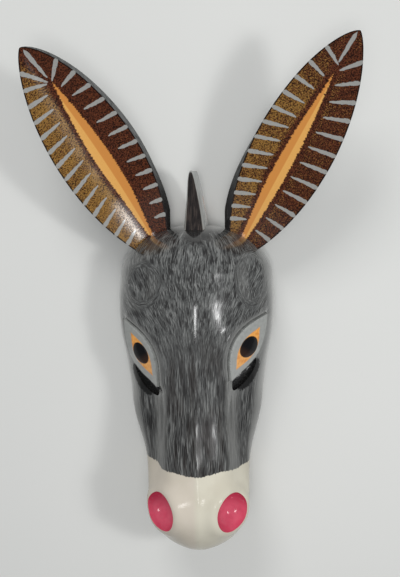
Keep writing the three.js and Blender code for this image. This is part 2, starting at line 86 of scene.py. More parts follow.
# The carver's sections from the poll (0) to the lips (1): shares of the half width and the depth
STATIONS = np.array([0.00, 0.16, 0.25, 0.34, 0.42, 0.50, 0.60, 0.70, 0.77, 0.82, 0.87, 1.00])
RIM = np.array([0.94, 0.95, 0.96, 0.93, 0.88, 0.84, 0.79, 0.68, 0.56, 0.46, 0.40, 0.36])
SIDE = np.array([
    [0.97, 0.22], [0.98, 0.22], [1.00, 0.22], [0.97, 0.22], [0.91, 0.21], [0.86, 0.21],
    [0.81, 0.21], [0.70, 0.22], [0.62, 0.27], [0.56, 0.34], [0.52, 0.38], [0.48, 0.40],
])
CHEEK = np.array([
    [0.84, 0.49], [0.87, 0.47], [0.91, 0.47], [0.89, 0.44], [0.82, 0.44], [0.75, 0.42],
    [0.70, 0.42], [0.63, 0.44], [0.62, 0.55], [0.61, 0.66], [0.59, 0.67], [0.56, 0.66],
])
HOLLOW = np.array([
    [0.58, 0.70], [0.60, 0.70], [0.64, 0.70], [0.63, 0.66], [0.57, 0.63], [0.50, 0.58],
    [0.47, 0.57], [0.48, 0.62], [0.49, 0.75], [0.46, 0.83], [0.45, 0.84], [0.43, 0.82],
])
BRIDGE = np.array([
    [0.29, 0.82], [0.30, 0.82], [0.33, 0.83], [0.34, 0.83], [0.33, 0.80], [0.33, 0.77],
    [0.33, 0.78], [0.34, 0.83], [0.31, 0.91], [0.26, 0.97], [0.24, 0.97], [0.22, 0.94],
])
RIDGE = np.array([
    0.860, 0.865, 0.890, 0.885, 0.870, 0.860, 0.875, 0.930, 0.970, 0.995, 1.000, 0.975,
])
RIDGE_CREASE = (0.2, 0.55)
CHIN_START, CHIN_END, CHIN_LIFT = 0.78, 0.92, 0.21
POLL_ROUND, POLL_SQUARENESS = 0.16, 2.6
LIP_ROUND, LIP_TAPER, LIP_HEIGHT = 0.14, 1.1, 0.52
MUZZLE_DRIFT, DRIFT_SPAN = 2.5, (0.6, 0.9)
RIDGE_U = 5.0

# The eyes, in a frame of their own: a runs down along the almond, b across it to the brow
EYE_LENGTH = 80.0
EYE_ROWS = {
    "left": {"out": 0.674, "at": 0.398, "lean": 62.4, "brow": 14, "cheek": 12,
             "pupil": (11.5, 6.8), "drop": 6.4, "turn": 14},
    "right": {"out": 0.645, "at": 0.381, "lean": 59.3, "brow": 17.5, "cheek": 12,
              "pupil": (11.5, 8.0), "drop": 9.0, "turn": 11},
}
EYE_FULLNESS = 1.1
EYE_LIFT, EYE_ROOT = 2.6, 7.0
PUPIL_RISE = 2.4
BROW_RISE, BROW_WIDTH, SOCKET_SINK = 3.2, 6.0, 2.2
RECESS = {"a": 28, "along": 22, "across": 11.5, "deep": 10}
SLIT = {"a": 27, "below": 1.5, "along": 27, "across": 4.5, "reach": 40, "turn": 12.5}
DISHES = {"left": (0.63, 0.188, 18, 21, 5.0), "right": (0.68, 0.172, 15, 27, 5.0)}
NOSTRIL_OUT, NOSTRIL_AT, NOSTRIL_RADIUS = 36.0, 0.856, 20.5
NOSTRIL_DEEP, NOSTRIL_PROUD = 17.0, 2.0
FLARE_RISE, FLARE_WIDTH, FLARE_AT = 3.2, 0.34, 1.05
MOUTH_HALF, MOUTH_TURN_UP, MOUTH_RADIUS = 0.955, 0.935, 1.8
MOUTH_SIDE_U, MOUTH_FRONT_U, MOUTH_TIP = 1.5, 2.1, 0.9995
# The carving fades in above the rim, and reaches this share of the eye's length past its middle
CARVED_FROM, CARVED_FULL = 1, 1.6
EYE_NEAR, EYE_FADE = 0.62, 0.2
NORMAL_STEP, HALVINGS = 0.004, 30


def smoothstep(x, low, high):
    s = np.clip((x - low) / (high - low), 0, 1)
    return s * s * (3 - 2 * s)


def bell(distance):
    return np.exp(-distance * distance)


def hermite(start, start_slope, end, end_slope, s):
    s2, s3 = s * s, s * s * s
    return ((2 * s3 - 3 * s2 + 1) * start + (s3 - 2 * s2 + s) * start_slope
            + (3 * s2 - 2 * s3) * end + (s3 - s2) * end_slope)


def glide(at, values, t):
    """Smooth curve through the values, level past the first and the last of them."""
    slopes = np.zeros_like(values)
    run = at[2:] - at[:-2]
    slopes[1:-1] = (values[2:] - values[:-2]) / run.reshape(-1, *([1] * (values.ndim - 1)))
    t = np.clip(t, at[0], at[-1])
    i = np.clip(np.searchsorted(at, t, side="right") - 1, 0, len(at) - 2)
    span = at[i + 1] - at[i]
    s = (t - at[i]) / span
    if values.ndim > 1:
        s, span = s[:, None], span[:, None]
    return hermite(values[i], slopes[i] * span, values[i + 1], slopes[i + 1] * span, s)


def section_points(t):
    """Rim, side, cheek, hollow, bridge edge and ridge of half a section, for each t."""
    rim = np.stack([glide(STATIONS, RIM, t), CHIN_LIFT * smoothstep(t, CHIN_START, CHIN_END)], 1)
    ridge = np.stack([np.zeros_like(t), glide(STATIONS, RIDGE, t)], 1)
    rows = [rim] + [glide(STATIONS, row, t) for row in (SIDE, CHEEK, HOLLOW, BRIDGE)] + [ridge]
    points = np.stack(rows, 1)
    r = np.clip(1 - t / POLL_ROUND, 0, 1)
    q = np.clip((t - 1 + LIP_ROUND) / LIP_ROUND, 0, 1)
    lips = np.sqrt(1 - q * q)
    wide = np.sqrt(1 - r * r) * lips ** LIP_TAPER
    deep = (1 - r ** POLL_SQUARENESS) ** (1 / POLL_SQUARENESS) * lips
    about = np.where(t > 1 - LIP_ROUND, LIP_HEIGHT, 0.0)[:, None]
    x = points[:, :, 0] * wide[:, None] * HALF_WIDTH
    z = (about + (points[:, :, 1] - about) * deep[:, None]) * HEAD_DEPTH
    return np.stack([x, z], 2)


def plain_point(t, u, sign):
    """Points on the head before its finer carving; u runs from the rim (0) to the ridge (5)."""
    points = section_points(t)
    slopes = np.empty_like(points)
    slopes[:, 1:-1] = (points[:, 2:] - points[:, :-2]) / 2
    slopes[:, 0] = points[:, 1] - points[:, 0]
    slopes[:, -1] = points[:, -1] - points[:, -2]
    slopes[:, -1, 1] *= smoothstep(t, *RIDGE_CREASE)
    i = np.clip(np.floor(u).astype(int), 0, int(RIDGE_U) - 1)
    n = np.arange(len(t))
    xz = hermite(points[n, i], slopes[n, i], points[n, i + 1], slopes[n, i + 1], (u - i)[:, None])
    drift = MUZZLE_DRIFT * smoothstep(t, *DRIFT_SPAN)
    return np.stack([sign * xz[:, 0] + drift, -t * HEAD_LENGTH, xz[:, 1]], 1)


def plain_normal(t, u, sign):
    step = NORMAL_STEP
    low = np.clip(t, step, 1 - 2 * step)
    along = plain_point(low + step, u, sign) - plain_point(low - step / 2, u, sign)
    near = np.clip(u, step, RIDGE_U - step)
    across = plain_point(low, near + step, sign) - plain_point(low, near - step, sign)
    normal = np.cross(across, along) * np.reshape(sign, (-1, 1))
    normal[:, 0] = np.where(u > RIDGE_U - step, 0, normal[:, 0])
    return normal / np.linalg.norm(normal, axis=1, keepdims=True)


def find_face(x, y, sign):
    """The t and u at which the plain head passes through x and y."""
    t = -y / HEAD_LENGTH
    low, high = np.ones_like(t), np.full_like(t, RIDGE_U)
    for _ in range(HALVINGS):
        mid = (low + high) / 2
        outside = sign * plain_point(t, mid, sign)[:, 0] > sign * x
        low = np.where(outside, mid, low)
        high = np.where(outside, high, mid)
    return t, low


class Eye:
    """One eye's centre and directions in the plane of the rim."""

    def __init__(self, name):
        self.sign = SIDES[name]
        row = EYE_ROWS[name]
        lean = math.radians(row["lean"])
        self.x = self.sign * row["out"] * HALF_WIDTH
        self.y = -row["at"] * HEAD_LENGTH
        self.along = (-self.sign * math.cos(lean), -math.sin(lean))
        self.across = (-self.sign * math.sin(lean), math.cos(lean))
        self.brow, self.cheek, self.pupil = row["brow"], row["cheek"], row["pupil"]
        self.drop, self.turn = row["drop"], row["turn"]

    def point(self, a, b, height):
        a, b = np.broadcast_arrays(np.asarray(a, float), np.asarray(b, float))
        shape = a.shape
        x = (self.x + a * self.along[0] + b * self.across[0]).ravel()
        y = (self.y + a * self.along[1] + b * self.across[1]).ravel()
        sign = np.full_like(x, self.sign)
        t, u = find_face(x, y, sign)
        rise = np.broadcast_to(np.asarray(height, float), shape).ravel()[:, None]
        return (plain_point(t, u, sign) + plain_normal(t, u, sign) * rise).reshape(*shape, 3)


EYES = {name: Eye(name) for name in SIDES}


def almond_edge(a, width):
    share = np.clip(np.abs(a) / (EYE_LENGTH / 2), 0, 1)
    return width * (1 - share * share) ** EYE_FULLNESS


def nostril_seat(name):
    sign = np.array([float(SIDES[name])])
    t, u = find_face(sign * NOSTRIL_OUT, np.array([-NOSTRIL_AT * HEAD_LENGTH]), sign)
    return plain_point(t, u, sign)[0], plain_normal(t, u, sign)[0]


NOSTRILS = {name: nostril_seat(name) for name in SIDES}


def carving(p, name):
    """How far the brow, socket and temple dish stand above the plain head."""
    eye = EYES[name]
    dx, dy = p[:, 0] - eye.x, p[:, 1] - eye.y
    a = dx * eye.along[0] + dy * eye.along[1]
    b = dx * eye.across[0] + dy * eye.across[1]
    near = smoothstep(EYE_LENGTH * EYE_NEAR - np.abs(a), 0, EYE_LENGTH * EYE_FADE)
    above = b - almond_edge(a, eye.brow)
    height = BROW_RISE * near * bell((above - BROW_WIDTH) / BROW_WIDTH)
    height -= SOCKET_SINK * near * bell(above / (BROW_WIDTH / 2))
    out, at, half_x, half_y, deep = DISHES[name]
    sx = (p[:, 0] - SIDES[name] * out * HALF_WIDTH) / half_x
    sy = (p[:, 1] + at * HEAD_LENGTH) / half_y
    inside = np.clip(1 - sx * sx - sy * sy, 0, 1)
    return height - deep * inside * np.sqrt(inside)


def head_point(t, u, name, swell=0.0):
    sign = np.full_like(t, SIDES[name])
    p = plain_point(t, u, sign)
    normal = plain_normal(t, u, sign)
    height = carving(p, name) * smoothstep(u, CARVED_FROM, CARVED_FULL)
    seat = NOSTRILS[name][0]
    gap = np.linalg.norm(p - seat, axis=1) / NOSTRIL_RADIUS - FLARE_AT
    height += FLARE_RISE * bell(gap / FLARE_WIDTH) * (u > CARVED_FROM)
    return p + normal * (height + swell)[:, None]


# Making and joining pieces

BOX_MARGIN = 1e-6


def deselect():
    if bpy.context.object and bpy.context.object.mode != "OBJECT":
        bpy.ops.object.mode_set(mode="OBJECT")
    bpy.ops.object.select_all(action="DESELECT")


def pick(piece):
    deselect()
    piece.select_set(True)
    bpy.context.view_layer.objects.active = piece


def read_points(mesh):
    co = np.empty(len(mesh.vertices) * 3, np.float32)
    mesh.vertices.foreach_get("co", co)
    return co.reshape(-1, 3).astype(float)


def write_points(mesh, points):
    mesh.vertices.foreach_set("co", np.asarray(points).astype(np.float32).ravel())
    mesh.update()


def ball_of_rings(name, rings, start, end, map_u=None, map_v=None):
    """A sphere whose rings are moved, one by one, to where the carving has them."""
    rows, around = rings.shape[:2]
    deselect()
    bpy.ops.mesh.primitive_uv_sphere_add(segments=around, ring_count=rows + 1, radius=1)
    piece = bpy.context.object
    piece.name = piece.data.name = name
    mesh = piece.data
    co = read_points(mesh)
    row = np.rint(np.arccos(np.clip(co[:, 2], -1, 1)) / math.pi * (rows + 1)).astype(int)
    column = np.rint(np.arctan2(co[:, 1], co[:, 0]) / (2 * math.pi) * around).astype(int) % around
    moved = rings[np.clip(row - 1, 0, rows - 1), column]
    moved[row == 0] = start
    moved[row == rows + 1] = end
    write_points(mesh, place(moved))
    if map_u is not None:
        write_map(mesh, row, column, rows, around, map_u, map_v)
    bpy.ops.object.mode_set(mode="EDIT")
    bpy.ops.mesh.select_all(action="SELECT")
    bpy.ops.mesh.normals_make_consistent(inside=False)
    bpy.ops.object.mode_set(mode="OBJECT")
    mesh.update()
    return piece


def write_map(mesh, row, column, rows, around, map_u, map_v):
    """The piece's own map: map_u has one value more than the ring, for where the ring closes."""
    corner = np.empty(len(mesh.loops), int)
    mesh.loops.foreach_get("vertex_index", corner)
    first = np.empty(len(mesh.polygons), int)
    count = np.empty(len(mesh.polygons), int)
    mesh.polygons.foreach_get("loop_start", first)
    mesh.polygons.foreach_get("loop_total", count)
    face = np.repeat(np.arange(len(first)), count)
    j, i = column[corner], row[corner]
    pole = (i == 0) | (i == rows + 1)
    most = np.maximum.reduceat(np.where(pole, -1, j), first)
    least = np.minimum.reduceat(np.where(pole, around, j), first)
    wraps = (most - least > around / 2)[face] & (j == 0) & ~pole
    j = np.where(wraps, around, j)
    u = map_u[np.clip(i - 1, 0, rows - 1), j]
    total = np.add.reduceat(np.where(pole, 0, u), first)
    real = np.add.reduceat(np.where(pole, 0, 1), first)
    u = np.where(pole, (total / real)[face], u)
    mesh.uv_layers.active.data.foreach_set("uv", np.stack([u, map_v[i]], 1).ravel())


def use_modifier(piece, kind, **settings):
    modifier = piece.modifiers.new(kind.lower(), kind)
    for key, value in settings.items():
        setattr(modifier, key, value)
    pick(piece)
    bpy.ops.object.modifier_apply(modifier=modifier.name)


def carve(piece, tool, operation="DIFFERENCE"):
    use_modifier(piece, "BOOLEAN", object=tool, operation=operation,
                 solver="EXACT", material_mode="TRANSFER")
    bpy.data.objects.remove(tool)


def smooth(piece, degrees):
    pick(piece)
    bpy.ops.object.shade_smooth_by_angle(angle=math.radians(degrees))


def set_along(ahead, outward):
    """Three unit directions: along, across and out of the surface."""
    n = outward / np.linalg.norm(outward)
    b = np.cross(n, ahead)
    b /= np.linalg.norm(b)
    return np.cross(b, n), b, n


def set_tool(piece, centre, axes, size, material):
    """Seats a unit primitive at a point in millimetres, turned to three directions."""
    moved = centre + (read_points(piece.data) * np.array(size)) @ np.array(axes)
    write_points(piece.data, place(moved))
    piece.data.materials.append(material)
    return piece


def new_ball(segments, ring_count):
    deselect()
    bpy.ops.mesh.primitive_uv_sphere_add(segments=segments, ring_count=ring_count, radius=1)
    return bpy.context.object


def new_block():
    deselect()
    bpy.ops.mesh.primitive_cube_add(size=1)
    return bpy.context.object


def keep_within(piece, node):
    """Holds the piece to the box of the solid that it stands for."""
    low, high = (np.array(corner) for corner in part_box(node))
    held = np.clip(read_points(piece.data), low + BOX_MARGIN, high - BOX_MARGIN)
    write_points(piece.data, held)


# The head

POLL_RINGS, FACE_RINGS, LIP_RINGS = 22, 168, 26
HALF_STEPS = (8, 20, 26, 22, 20)
BACK_STEPS = 12
ALMOND_STEPS, ALMOND_SIDE_STEPS = 72, 26
ALMOND_EDGE_ROUND, ALMOND_EDGE_START = 0.7, 0.86
RECESS_BALL, NOSTRIL_BALL = (64, 44), (96, 64)
MOUTH_RINGS, MOUTH_SIDES = 90, 12
HEAD_SMOOTH_DEG, EAR_SMOOTH_DEG, FORELOCK_SMOOTH_DEG = 38, 50, 40


def spread(t, u):
    """Every pairing of t and u, as two long rows."""
    return tuple(grid.ravel() for grid in np.meshgrid(t, u, indexing="ij"))


def head_rings(swell=0.0, share=1.0):
    """Rings over the face and back along the rim, with their u and t."""
    counts = [max(2, round(n * share)) for n in HALF_STEPS]
    quarters = [math.pi / 2 * np.arange(1, n) / n
                for n in (round(POLL_RINGS * share), round(LIP_RINGS * share))]
    poll, lips = 1 - np.cos(quarters[0]), np.sin(quarters[1])
    face = np.linspace(POLL_ROUND, 1 - LIP_ROUND, round(FACE_RINGS * share) + 1)
    t = np.concatenate([POLL_ROUND * poll, face, 1 - LIP_ROUND + LIP_ROUND * lips])
    half = np.concatenate([i + np.arange(n) / n for i, n in enumerate(counts)])
    u_left, u_right = np.append(half, RIDGE_U), half[::-1]
    left = head_point(*spread(t, u_left), "left", swell).reshape(len(t), -1, 3)
    right = head_point(*spread(t, u_right), "right", swell).reshape(len(t), -1, 3)
    back_count = max(4, round(BACK_STEPS * share))
    steps = (np.arange(1, back_count) / back_count)[None, :, None]
    back = right[:, -1:] * (1 - steps) + left[:, :1] * steps
    rings = np.concatenate([left, right, back], 1)
    back_u = 2 * RIDGE_U + np.arange(1, back_count + 1) / back_count
    across = np.concatenate([u_left, 2 * RIDGE_U - u_right, back_u])
    return rings, np.tile(across, (len(t), 1)), np.concatenate([[0.0], t, [1.0]])


def head_ball(name, swell=0.0, share=1.0):
    rings, across, along = head_rings(swell, share)
    poll = np.array([0.0, swell, 0.0])
    lips = np.array([MUZZLE_DRIFT, -HEAD_LENGTH - swell, LIP_HEIGHT * HEAD_DEPTH])
    return ball_of_rings(name, rings, poll, lips, across, along)


HOLLOW_START, HOLLOW_BEND, HOLLOW_END, BACK_OPEN = 0.02, 0.60, 0.745, 6.0
HOLLOW_RINGS, HOLLOW_STEPS = 72, 44


def hollow_ball(material):
    """What is cut from the head: its own form, drawn in by the wall and open at the back."""
    k = np.arange(1, HOLLOW_RINGS + 1)
    eased = (1 - np.cos(math.pi * k / (HOLLOW_RINGS + 1))) / 2
    t = HOLLOW_START + (HOLLOW_END - HOLLOW_START) * eased
    r = np.clip((t - HOLLOW_BEND) / (HOLLOW_END - HOLLOW_BEND), 0, 1)
    draw = np.sqrt(1 - r * r)[:, None]
    u = RIDGE_U * np.arange(HOLLOW_STEPS + 1) / HOLLOW_STEPS
    sides = []
    for sign in (-1.0, 1.0):
        grid_t, grid_u = spread(t, u)
        signs = np.full_like(grid_t, sign)
        p = plain_point(grid_t, grid_u, signs) - WALL * plain_normal(grid_t, grid_u, signs)
        p = p.reshape(len(t), -1, 3)
        p[:, :, 0] *= draw
        p[:, :, 2] = np.clip(p[:, :, 2], 0, None) * draw
        p[:, -1, 0] = 0
        rim = p[:, :1].copy()
        rim[:, :, 2] = -BACK_OPEN
        sides.append(np.concatenate([rim, p], 1))
    rings = np.concatenate([sides[0], sides[1][:, -2::-1]], 1)
    piece = ball_of_rings("hollow", rings, rings[0].mean(0), rings[-1].mean(0))
    piece.data.materials.append(material)
    return piece


def almond_ball(name, material):
    """The carved eye: a plate that follows the temple, proud at its edge, domed at the pupil."""
    eye = EYES[name]
    half = EYE_LENGTH / 2
    a = -half * np.cos(math.pi * np.arange(1, ALMOND_STEPS) / ALMOND_STEPS)
    share = np.linspace(0, 1, ALMOND_SIDE_STEPS + 1)
    low, high = -almond_edge(a, eye.cheek)[:, None], almond_edge(a, eye.brow)[:, None]
    grid_a = np.repeat(a[:, None], len(share), 1)
    grid_b = low + (high - low) * share[None, :]
    dome = np.clip(1 - (grid_a / eye.pupil[0]) ** 2 - (grid_b / eye.pupil[1]) ** 2, 0, 1)
    edge_round = smoothstep(np.abs(2 * share - 1), ALMOND_EDGE_START, 1.0)[None, :]
    lift = EYE_LIFT + PUPIL_RISE * np.sqrt(dome) - ALMOND_EDGE_ROUND * edge_round
    top = eye.point(grid_a, grid_b, lift)
    under = eye.point(grid_a, grid_b, -EYE_ROOT)
    rings = np.concatenate([top, under[:, ::-1]], 1)
    middle = EYE_LIFT - EYE_ROOT / 2
    ends = (eye.point(end, 0.0, middle) for end in (-half, half))
    piece = ball_of_rings(f"almond_{name}", rings, *ends)
    piece.data.materials.append(material)
    return piece


def below_lid(name, piece, a, b, turn, size, material):
    """Seats a cutting tool on the cheek, below the eye and turned from its length."""
    eye, angle = EYES[name], math.radians(turn)
    centre = eye.point(a, b, 0.0)
    outward = eye.point(a, b, 1.0) - centre
    ahead = eye.point(a + math.cos(angle), b + math.sin(angle), 0.0) - centre
    return set_tool(piece, centre, set_along(ahead, outward), size, material)


def lid_tools(name, material):
    eye = EYES[name]
    recess = (RECESS["along"], RECESS["across"], RECESS["deep"])
    slit = (SLIT["along"], SLIT["across"], SLIT["reach"])
    yield below_lid(name, new_ball(*RECESS_BALL), RECESS["a"], -eye.drop, eye.turn,
                    recess, material)
    yield below_lid(name, new_block(), SLIT["a"], -eye.drop - SLIT["below"],
                    eye.turn + SLIT["turn"], slit, material)


def nostril_ball(name, material):
    seat, normal = NOSTRILS[name]
    axes = set_along(np.array([0.0, 1.0, 0.0]), normal)
    size = (NOSTRIL_RADIUS, NOSTRIL_RADIUS, NOSTRIL_DEEP + NOSTRIL_PROUD)
    return set_tool(new_ball(*NOSTRIL_BALL), seat + normal * NOSTRIL_PROUD, axes, size, material)


def mouth_tool(material):
    """The cut between the lips, a thin rope of rings along its way."""
    knots = []
    for name in SIDES:
        t = np.array([MOUTH_TURN_UP, MOUTH_HALF, (1 + MOUTH_HALF) / 2])
        half = head_point(t, np.array([MOUTH_FRONT_U, MOUTH_SIDE_U, MOUTH_SIDE_U]), name)
        knots.append(half if name == "left" else half[::-1])
    tip = head_point(np.array([MOUTH_TIP]), np.array([MOUTH_SIDE_U]), "left")
    knots = np.concatenate([knots[0], tip, knots[1]])
    way = glide(np.linspace(0, 1, len(knots)), knots, np.linspace(0, 1, MOUTH_RINGS))
    ahead = np.gradient(way, axis=0)
    ahead /= np.linalg.norm(ahead, axis=1, keepdims=True)
    side = np.cross(ahead, np.array([0.0, 0.0, 1.0]))
    side /= np.linalg.norm(side, axis=1, keepdims=True)
    up = np.cross(side, ahead)
    angle = 2 * math.pi * np.arange(MOUTH_SIDES) / MOUTH_SIDES
    turn = angle[None, :, None]
    circle = np.cos(turn) * side[:, None] + np.sin(turn) * up[:, None]
    rings = way[:, None] + MOUTH_RADIUS * circle
    piece = ball_of_rings("mouth", rings, way[0] - ahead[0], way[-1] + ahead[-1])
    piece.data.materials.append(material)
    return piece


def make_head(paint, pink, shade, raw):
    head = head_ball("carved_head")
    head.data.materials.append(paint)
    carve(head, hollow_ball(raw))
    for name in SIDES:
        for tool in lid_tools(name, shade):
            carve(head, tool)
        carve(head, almond_ball(name, paint), "UNION")
        carve(head, nostril_ball(name, pink))
    carve(head, mouth_tool(shade))
    smooth(head, HEAD_SMOOTH_DEG)
    return head


# The ears and the forelock

EAR_GROOVE, EAR_GROOVE_ROUND, EAR_BULGE, EAR_EDGE = 10.0, 1.5, 17.0, 3.2
EAR_FULLNESS, EAR_ROOT, EAR_SUNK = 0.78, 0.15, 0.07
EAR_TIP_GAIN, EAR_TIP_START, EAR_TIP_END = 0.13, 0.4, 0.8
EAR_RINGS, EAR_FACE_STEPS, EAR_BACK_STEPS = 120, 60, 40
EAR_TURN_DEG = 7
FINE_GAP, SEAT_SHARE = 0.15, 0.5


class Ear:
    """One ear's place and directions: along it, out to its side and out of its face."""

    def __init__(self, name, foot, reach, outer, inner, rib, shoulder, cup, cup_end):
        self.name, self.sign = name, SIDES[name]
        self.foot, self.reach = np.array(foot, float), np.array(reach, float)
        self.outer, self.inner, self.rib = outer, inner, rib
        self.shoulder, self.cup, self.cup_end = shoulder, cup, cup_end
        self.length = float(np.linalg.norm(self.reach))
        axis = self.reach / self.length
        facing = np.array([0.0, 0.0, 1.0]) - axis * axis[2]
        self.facing = turned(facing / np.linalg.norm(facing), axis,
                             -self.sign * math.radians(EAR_TURN_DEG))
        self.outwards = np.cross(axis, self.facing) * self.sign


def turned(v, axis, angle):
    along = axis * np.dot(axis, v)
    return v * math.cos(angle) + np.cross(axis, v) * math.sin(angle) + along * (1 - math.cos(angle))


EARS = {
    "left": Ear("left", (-52.03, -15, 49.98), (-116, 184, 82), 38, 47.5, 8, 4.8, 3.5, 0.3),
    "right": Ear("right", (57.02, -12, 49.98), (108, 195, 82), 41, 44, 3, 0.5, 8, 0.5),
}


def ear_share(s):
    """Half width as a share of the greatest, from the foot (0) to the tip (1), outer and inner."""
    share = (np.asarray(s) + EAR_ROOT) / (1 + EAR_ROOT)
    outer = (4 * share * (1 - share)) ** EAR_FULLNESS
    return outer, outer ** (1 - EAR_TIP_GAIN * smoothstep(s, EAR_TIP_START, EAR_TIP_END))


def seat_on_head(piece, smooth_degrees):
    carve(piece, head_ball("seat", FINE_GAP, SEAT_SHARE))
    smooth(piece, smooth_degrees)
    return piece


def make_ear(name, paint):
    """A leaf with a groove down its face, a rounded back and a rib set off its middle."""
    ear = EARS[name]
    s = -EAR_SUNK + (1 + EAR_SUNK) * np.sin(math.pi / 2 * np.arange(EAR_RINGS) / EAR_RINGS)
    share, inner_share = ear_share(s[:, None])
    outer, inner, rib = ear.outer * share, ear.inner * inner_share, -ear.rib * share
    v = np.linspace(-1, 1, EAR_FACE_STEPS + 1)[None, :]
    q = np.where(v > 0, rib + v * (outer - rib), rib + v * (rib + inner))
    h = -EAR_GROOVE * share * (1 - np.abs(v) ** EAR_GROOVE_ROUND)
    past = ear.shoulder * np.sqrt(share) + ear.cup * (1 - smoothstep(s, 0, ear.cup_end))[:, None]
    middle, half = (outer - inner - past) / 2, (outer + inner + past) / 2
    angle = math.pi * np.arange(1, EAR_BACK_STEPS)[None, :] / EAR_BACK_STEPS
    back_q = middle + half * np.cos(angle)
    back_h = -(EAR_EDGE * np.sqrt(share) + EAR_BULGE * share * np.sin(angle))
    q, h = np.concatenate([q, back_q], 1), np.concatenate([h, back_h], 1)
    centre = ear.foot + s[:, None] * ear.reach
    rings = centre[:, None] + q[:, :, None] * ear.outwards + h[:, :, None] * ear.facing
    tip = ear.foot + ear.reach - ear.facing * EAR_EDGE / 2
    map_u = np.concatenate([q, q[:, :1]], 1)
    map_v = np.concatenate([[s[0]], s, [1.0]])
    piece = ball_of_rings(f"{name}_ear_leaf", rings, rings[0].mean(0), tip, map_u, map_v)
    piece.data.materials.append(paint)
    return seat_on_head(piece, EAR_SMOOTH_DEG)


FORELOCK_TOP, FORELOCK_FOOT = 56.0, -21.0
FORELOCK_AT = np.array([0.0, 0.3, 0.6, 0.85, 1.0])
FORELOCK_HALF = np.array([13.0, 11.0, 7.6, 4.6, 2.4])
FORELOCK_FRONT = np.array([70.0, 68.0, 65.0, 62.0, 58.0])
FORELOCK_REAR = np.array([8.0, 14.0, 24.0, 34.0, 42.0])
FORELOCK_LEAN = np.array([[-1.0, 3.0], [-1.6, 3.0], [-2.6, 2.6], [-4.2, 2.0], [-4.8, 1.4]])
FORELOCK_RINGS, FORELOCK_SIDES = 60, 72
FORELOCK_SQUARENESS, FORELOCK_RUB, FORELOCK_RUB_START = 0.45, 0.75, 0.93


def make_forelock(paint):
    at = np.linspace(0, 1, FORELOCK_RINGS)
    rows = (FORELOCK_HALF, FORELOCK_FRONT, FORELOCK_REAR, FORELOCK_LEAN)
    half, front, rear, lean = (glide(FORELOCK_AT, row, at) for row in rows)
    # The top is rubbed round a little
    near_top = np.clip((at - FORELOCK_RUB_START) / (1 - FORELOCK_RUB_START), 0, 1)
    rubbed = np.sqrt(1 - FORELOCK_RUB * near_top ** 2)
    middle = (front + rear) / 2
    half, front, rear = (base + (row - base) * rubbed
                         for base, row in ((0, half), (middle, front), (middle, rear)))
    angle = 2 * math.pi * (np.arange(FORELOCK_SIDES) + 0.5) / FORELOCK_SIDES
    square = np.stack([np.cos(angle), np.sin(angle)])
    square = np.sign(square) * np.abs(square) ** FORELOCK_SQUARENESS
    depth = (1 + square[1][None, :]) / 2
    x = lean[:, 1:] + (lean[:, :1] - lean[:, 1:]) * depth + half[:, None] * square[0][None, :]
    y = np.broadcast_to((FORELOCK_FOOT + (FORELOCK_TOP - FORELOCK_FOOT) * at)[:, None], x.shape)
    z = rear[:, None] + (front - rear)[:, None] * depth
    rings = np.stack([x, y, z], 2)
    piece = ball_of_rings("forelock_wedge", rings, rings[0].mean(0), rings[-1].mean(0))
    piece.data.materials.append(paint)
    return seat_on_head(piece, FORELOCK_SMOOTH_DEG)


# Paint

class Wire:
    """One output of a node. Sums written on it add the nodes that work them out."""

    def __init__(self, sheet, socket):
        self.sheet, self.socket = sheet, socket

    def __abs__(self):
        return self.sheet.math("ABSOLUTE", self)

    def step(self, start, end):
        """0 at start and 1 at end, with a soft turn between."""
        node = self.sheet.node("ShaderNodeMapRange", interpolation_type="SMOOTHSTEP")
        return self.sheet.result(node, "Result", Value=self, From_Min=start, From_Max=end)

    def mix(self, a, b):
        """The colour a where this is 0, and b where it is 1."""
        node = self.sheet.node("ShaderNodeMix", data_type="RGBA")
        return self.sheet.result(node, "Result", Factor=self, A=a, B=b)

    def noise(self, scale, detail=2.0, rough=0.5):
        node = self.sheet.node("ShaderNodeTexNoise")
        settings = {"Scale": scale, "Detail": detail, "Roughness": rough}
        return self.sheet.result(node, "Fac", Vector=self, **settings)


def written_sum(operation, swapped):
    def method(wire, other):
        return wire.sheet.math(operation, *((other, wire) if swapped else (wire, other)))
    return method


for sign, word in (("add", "ADD"), ("sub", "SUBTRACT"), ("mul", "MULTIPLY"),
                   ("truediv", "DIVIDE"), ("pow", "POWER")):
    setattr(Wire, f"__{sign}__", written_sum(word, False))
    setattr(Wire, f"__r{sign}__", written_sum(word, True))


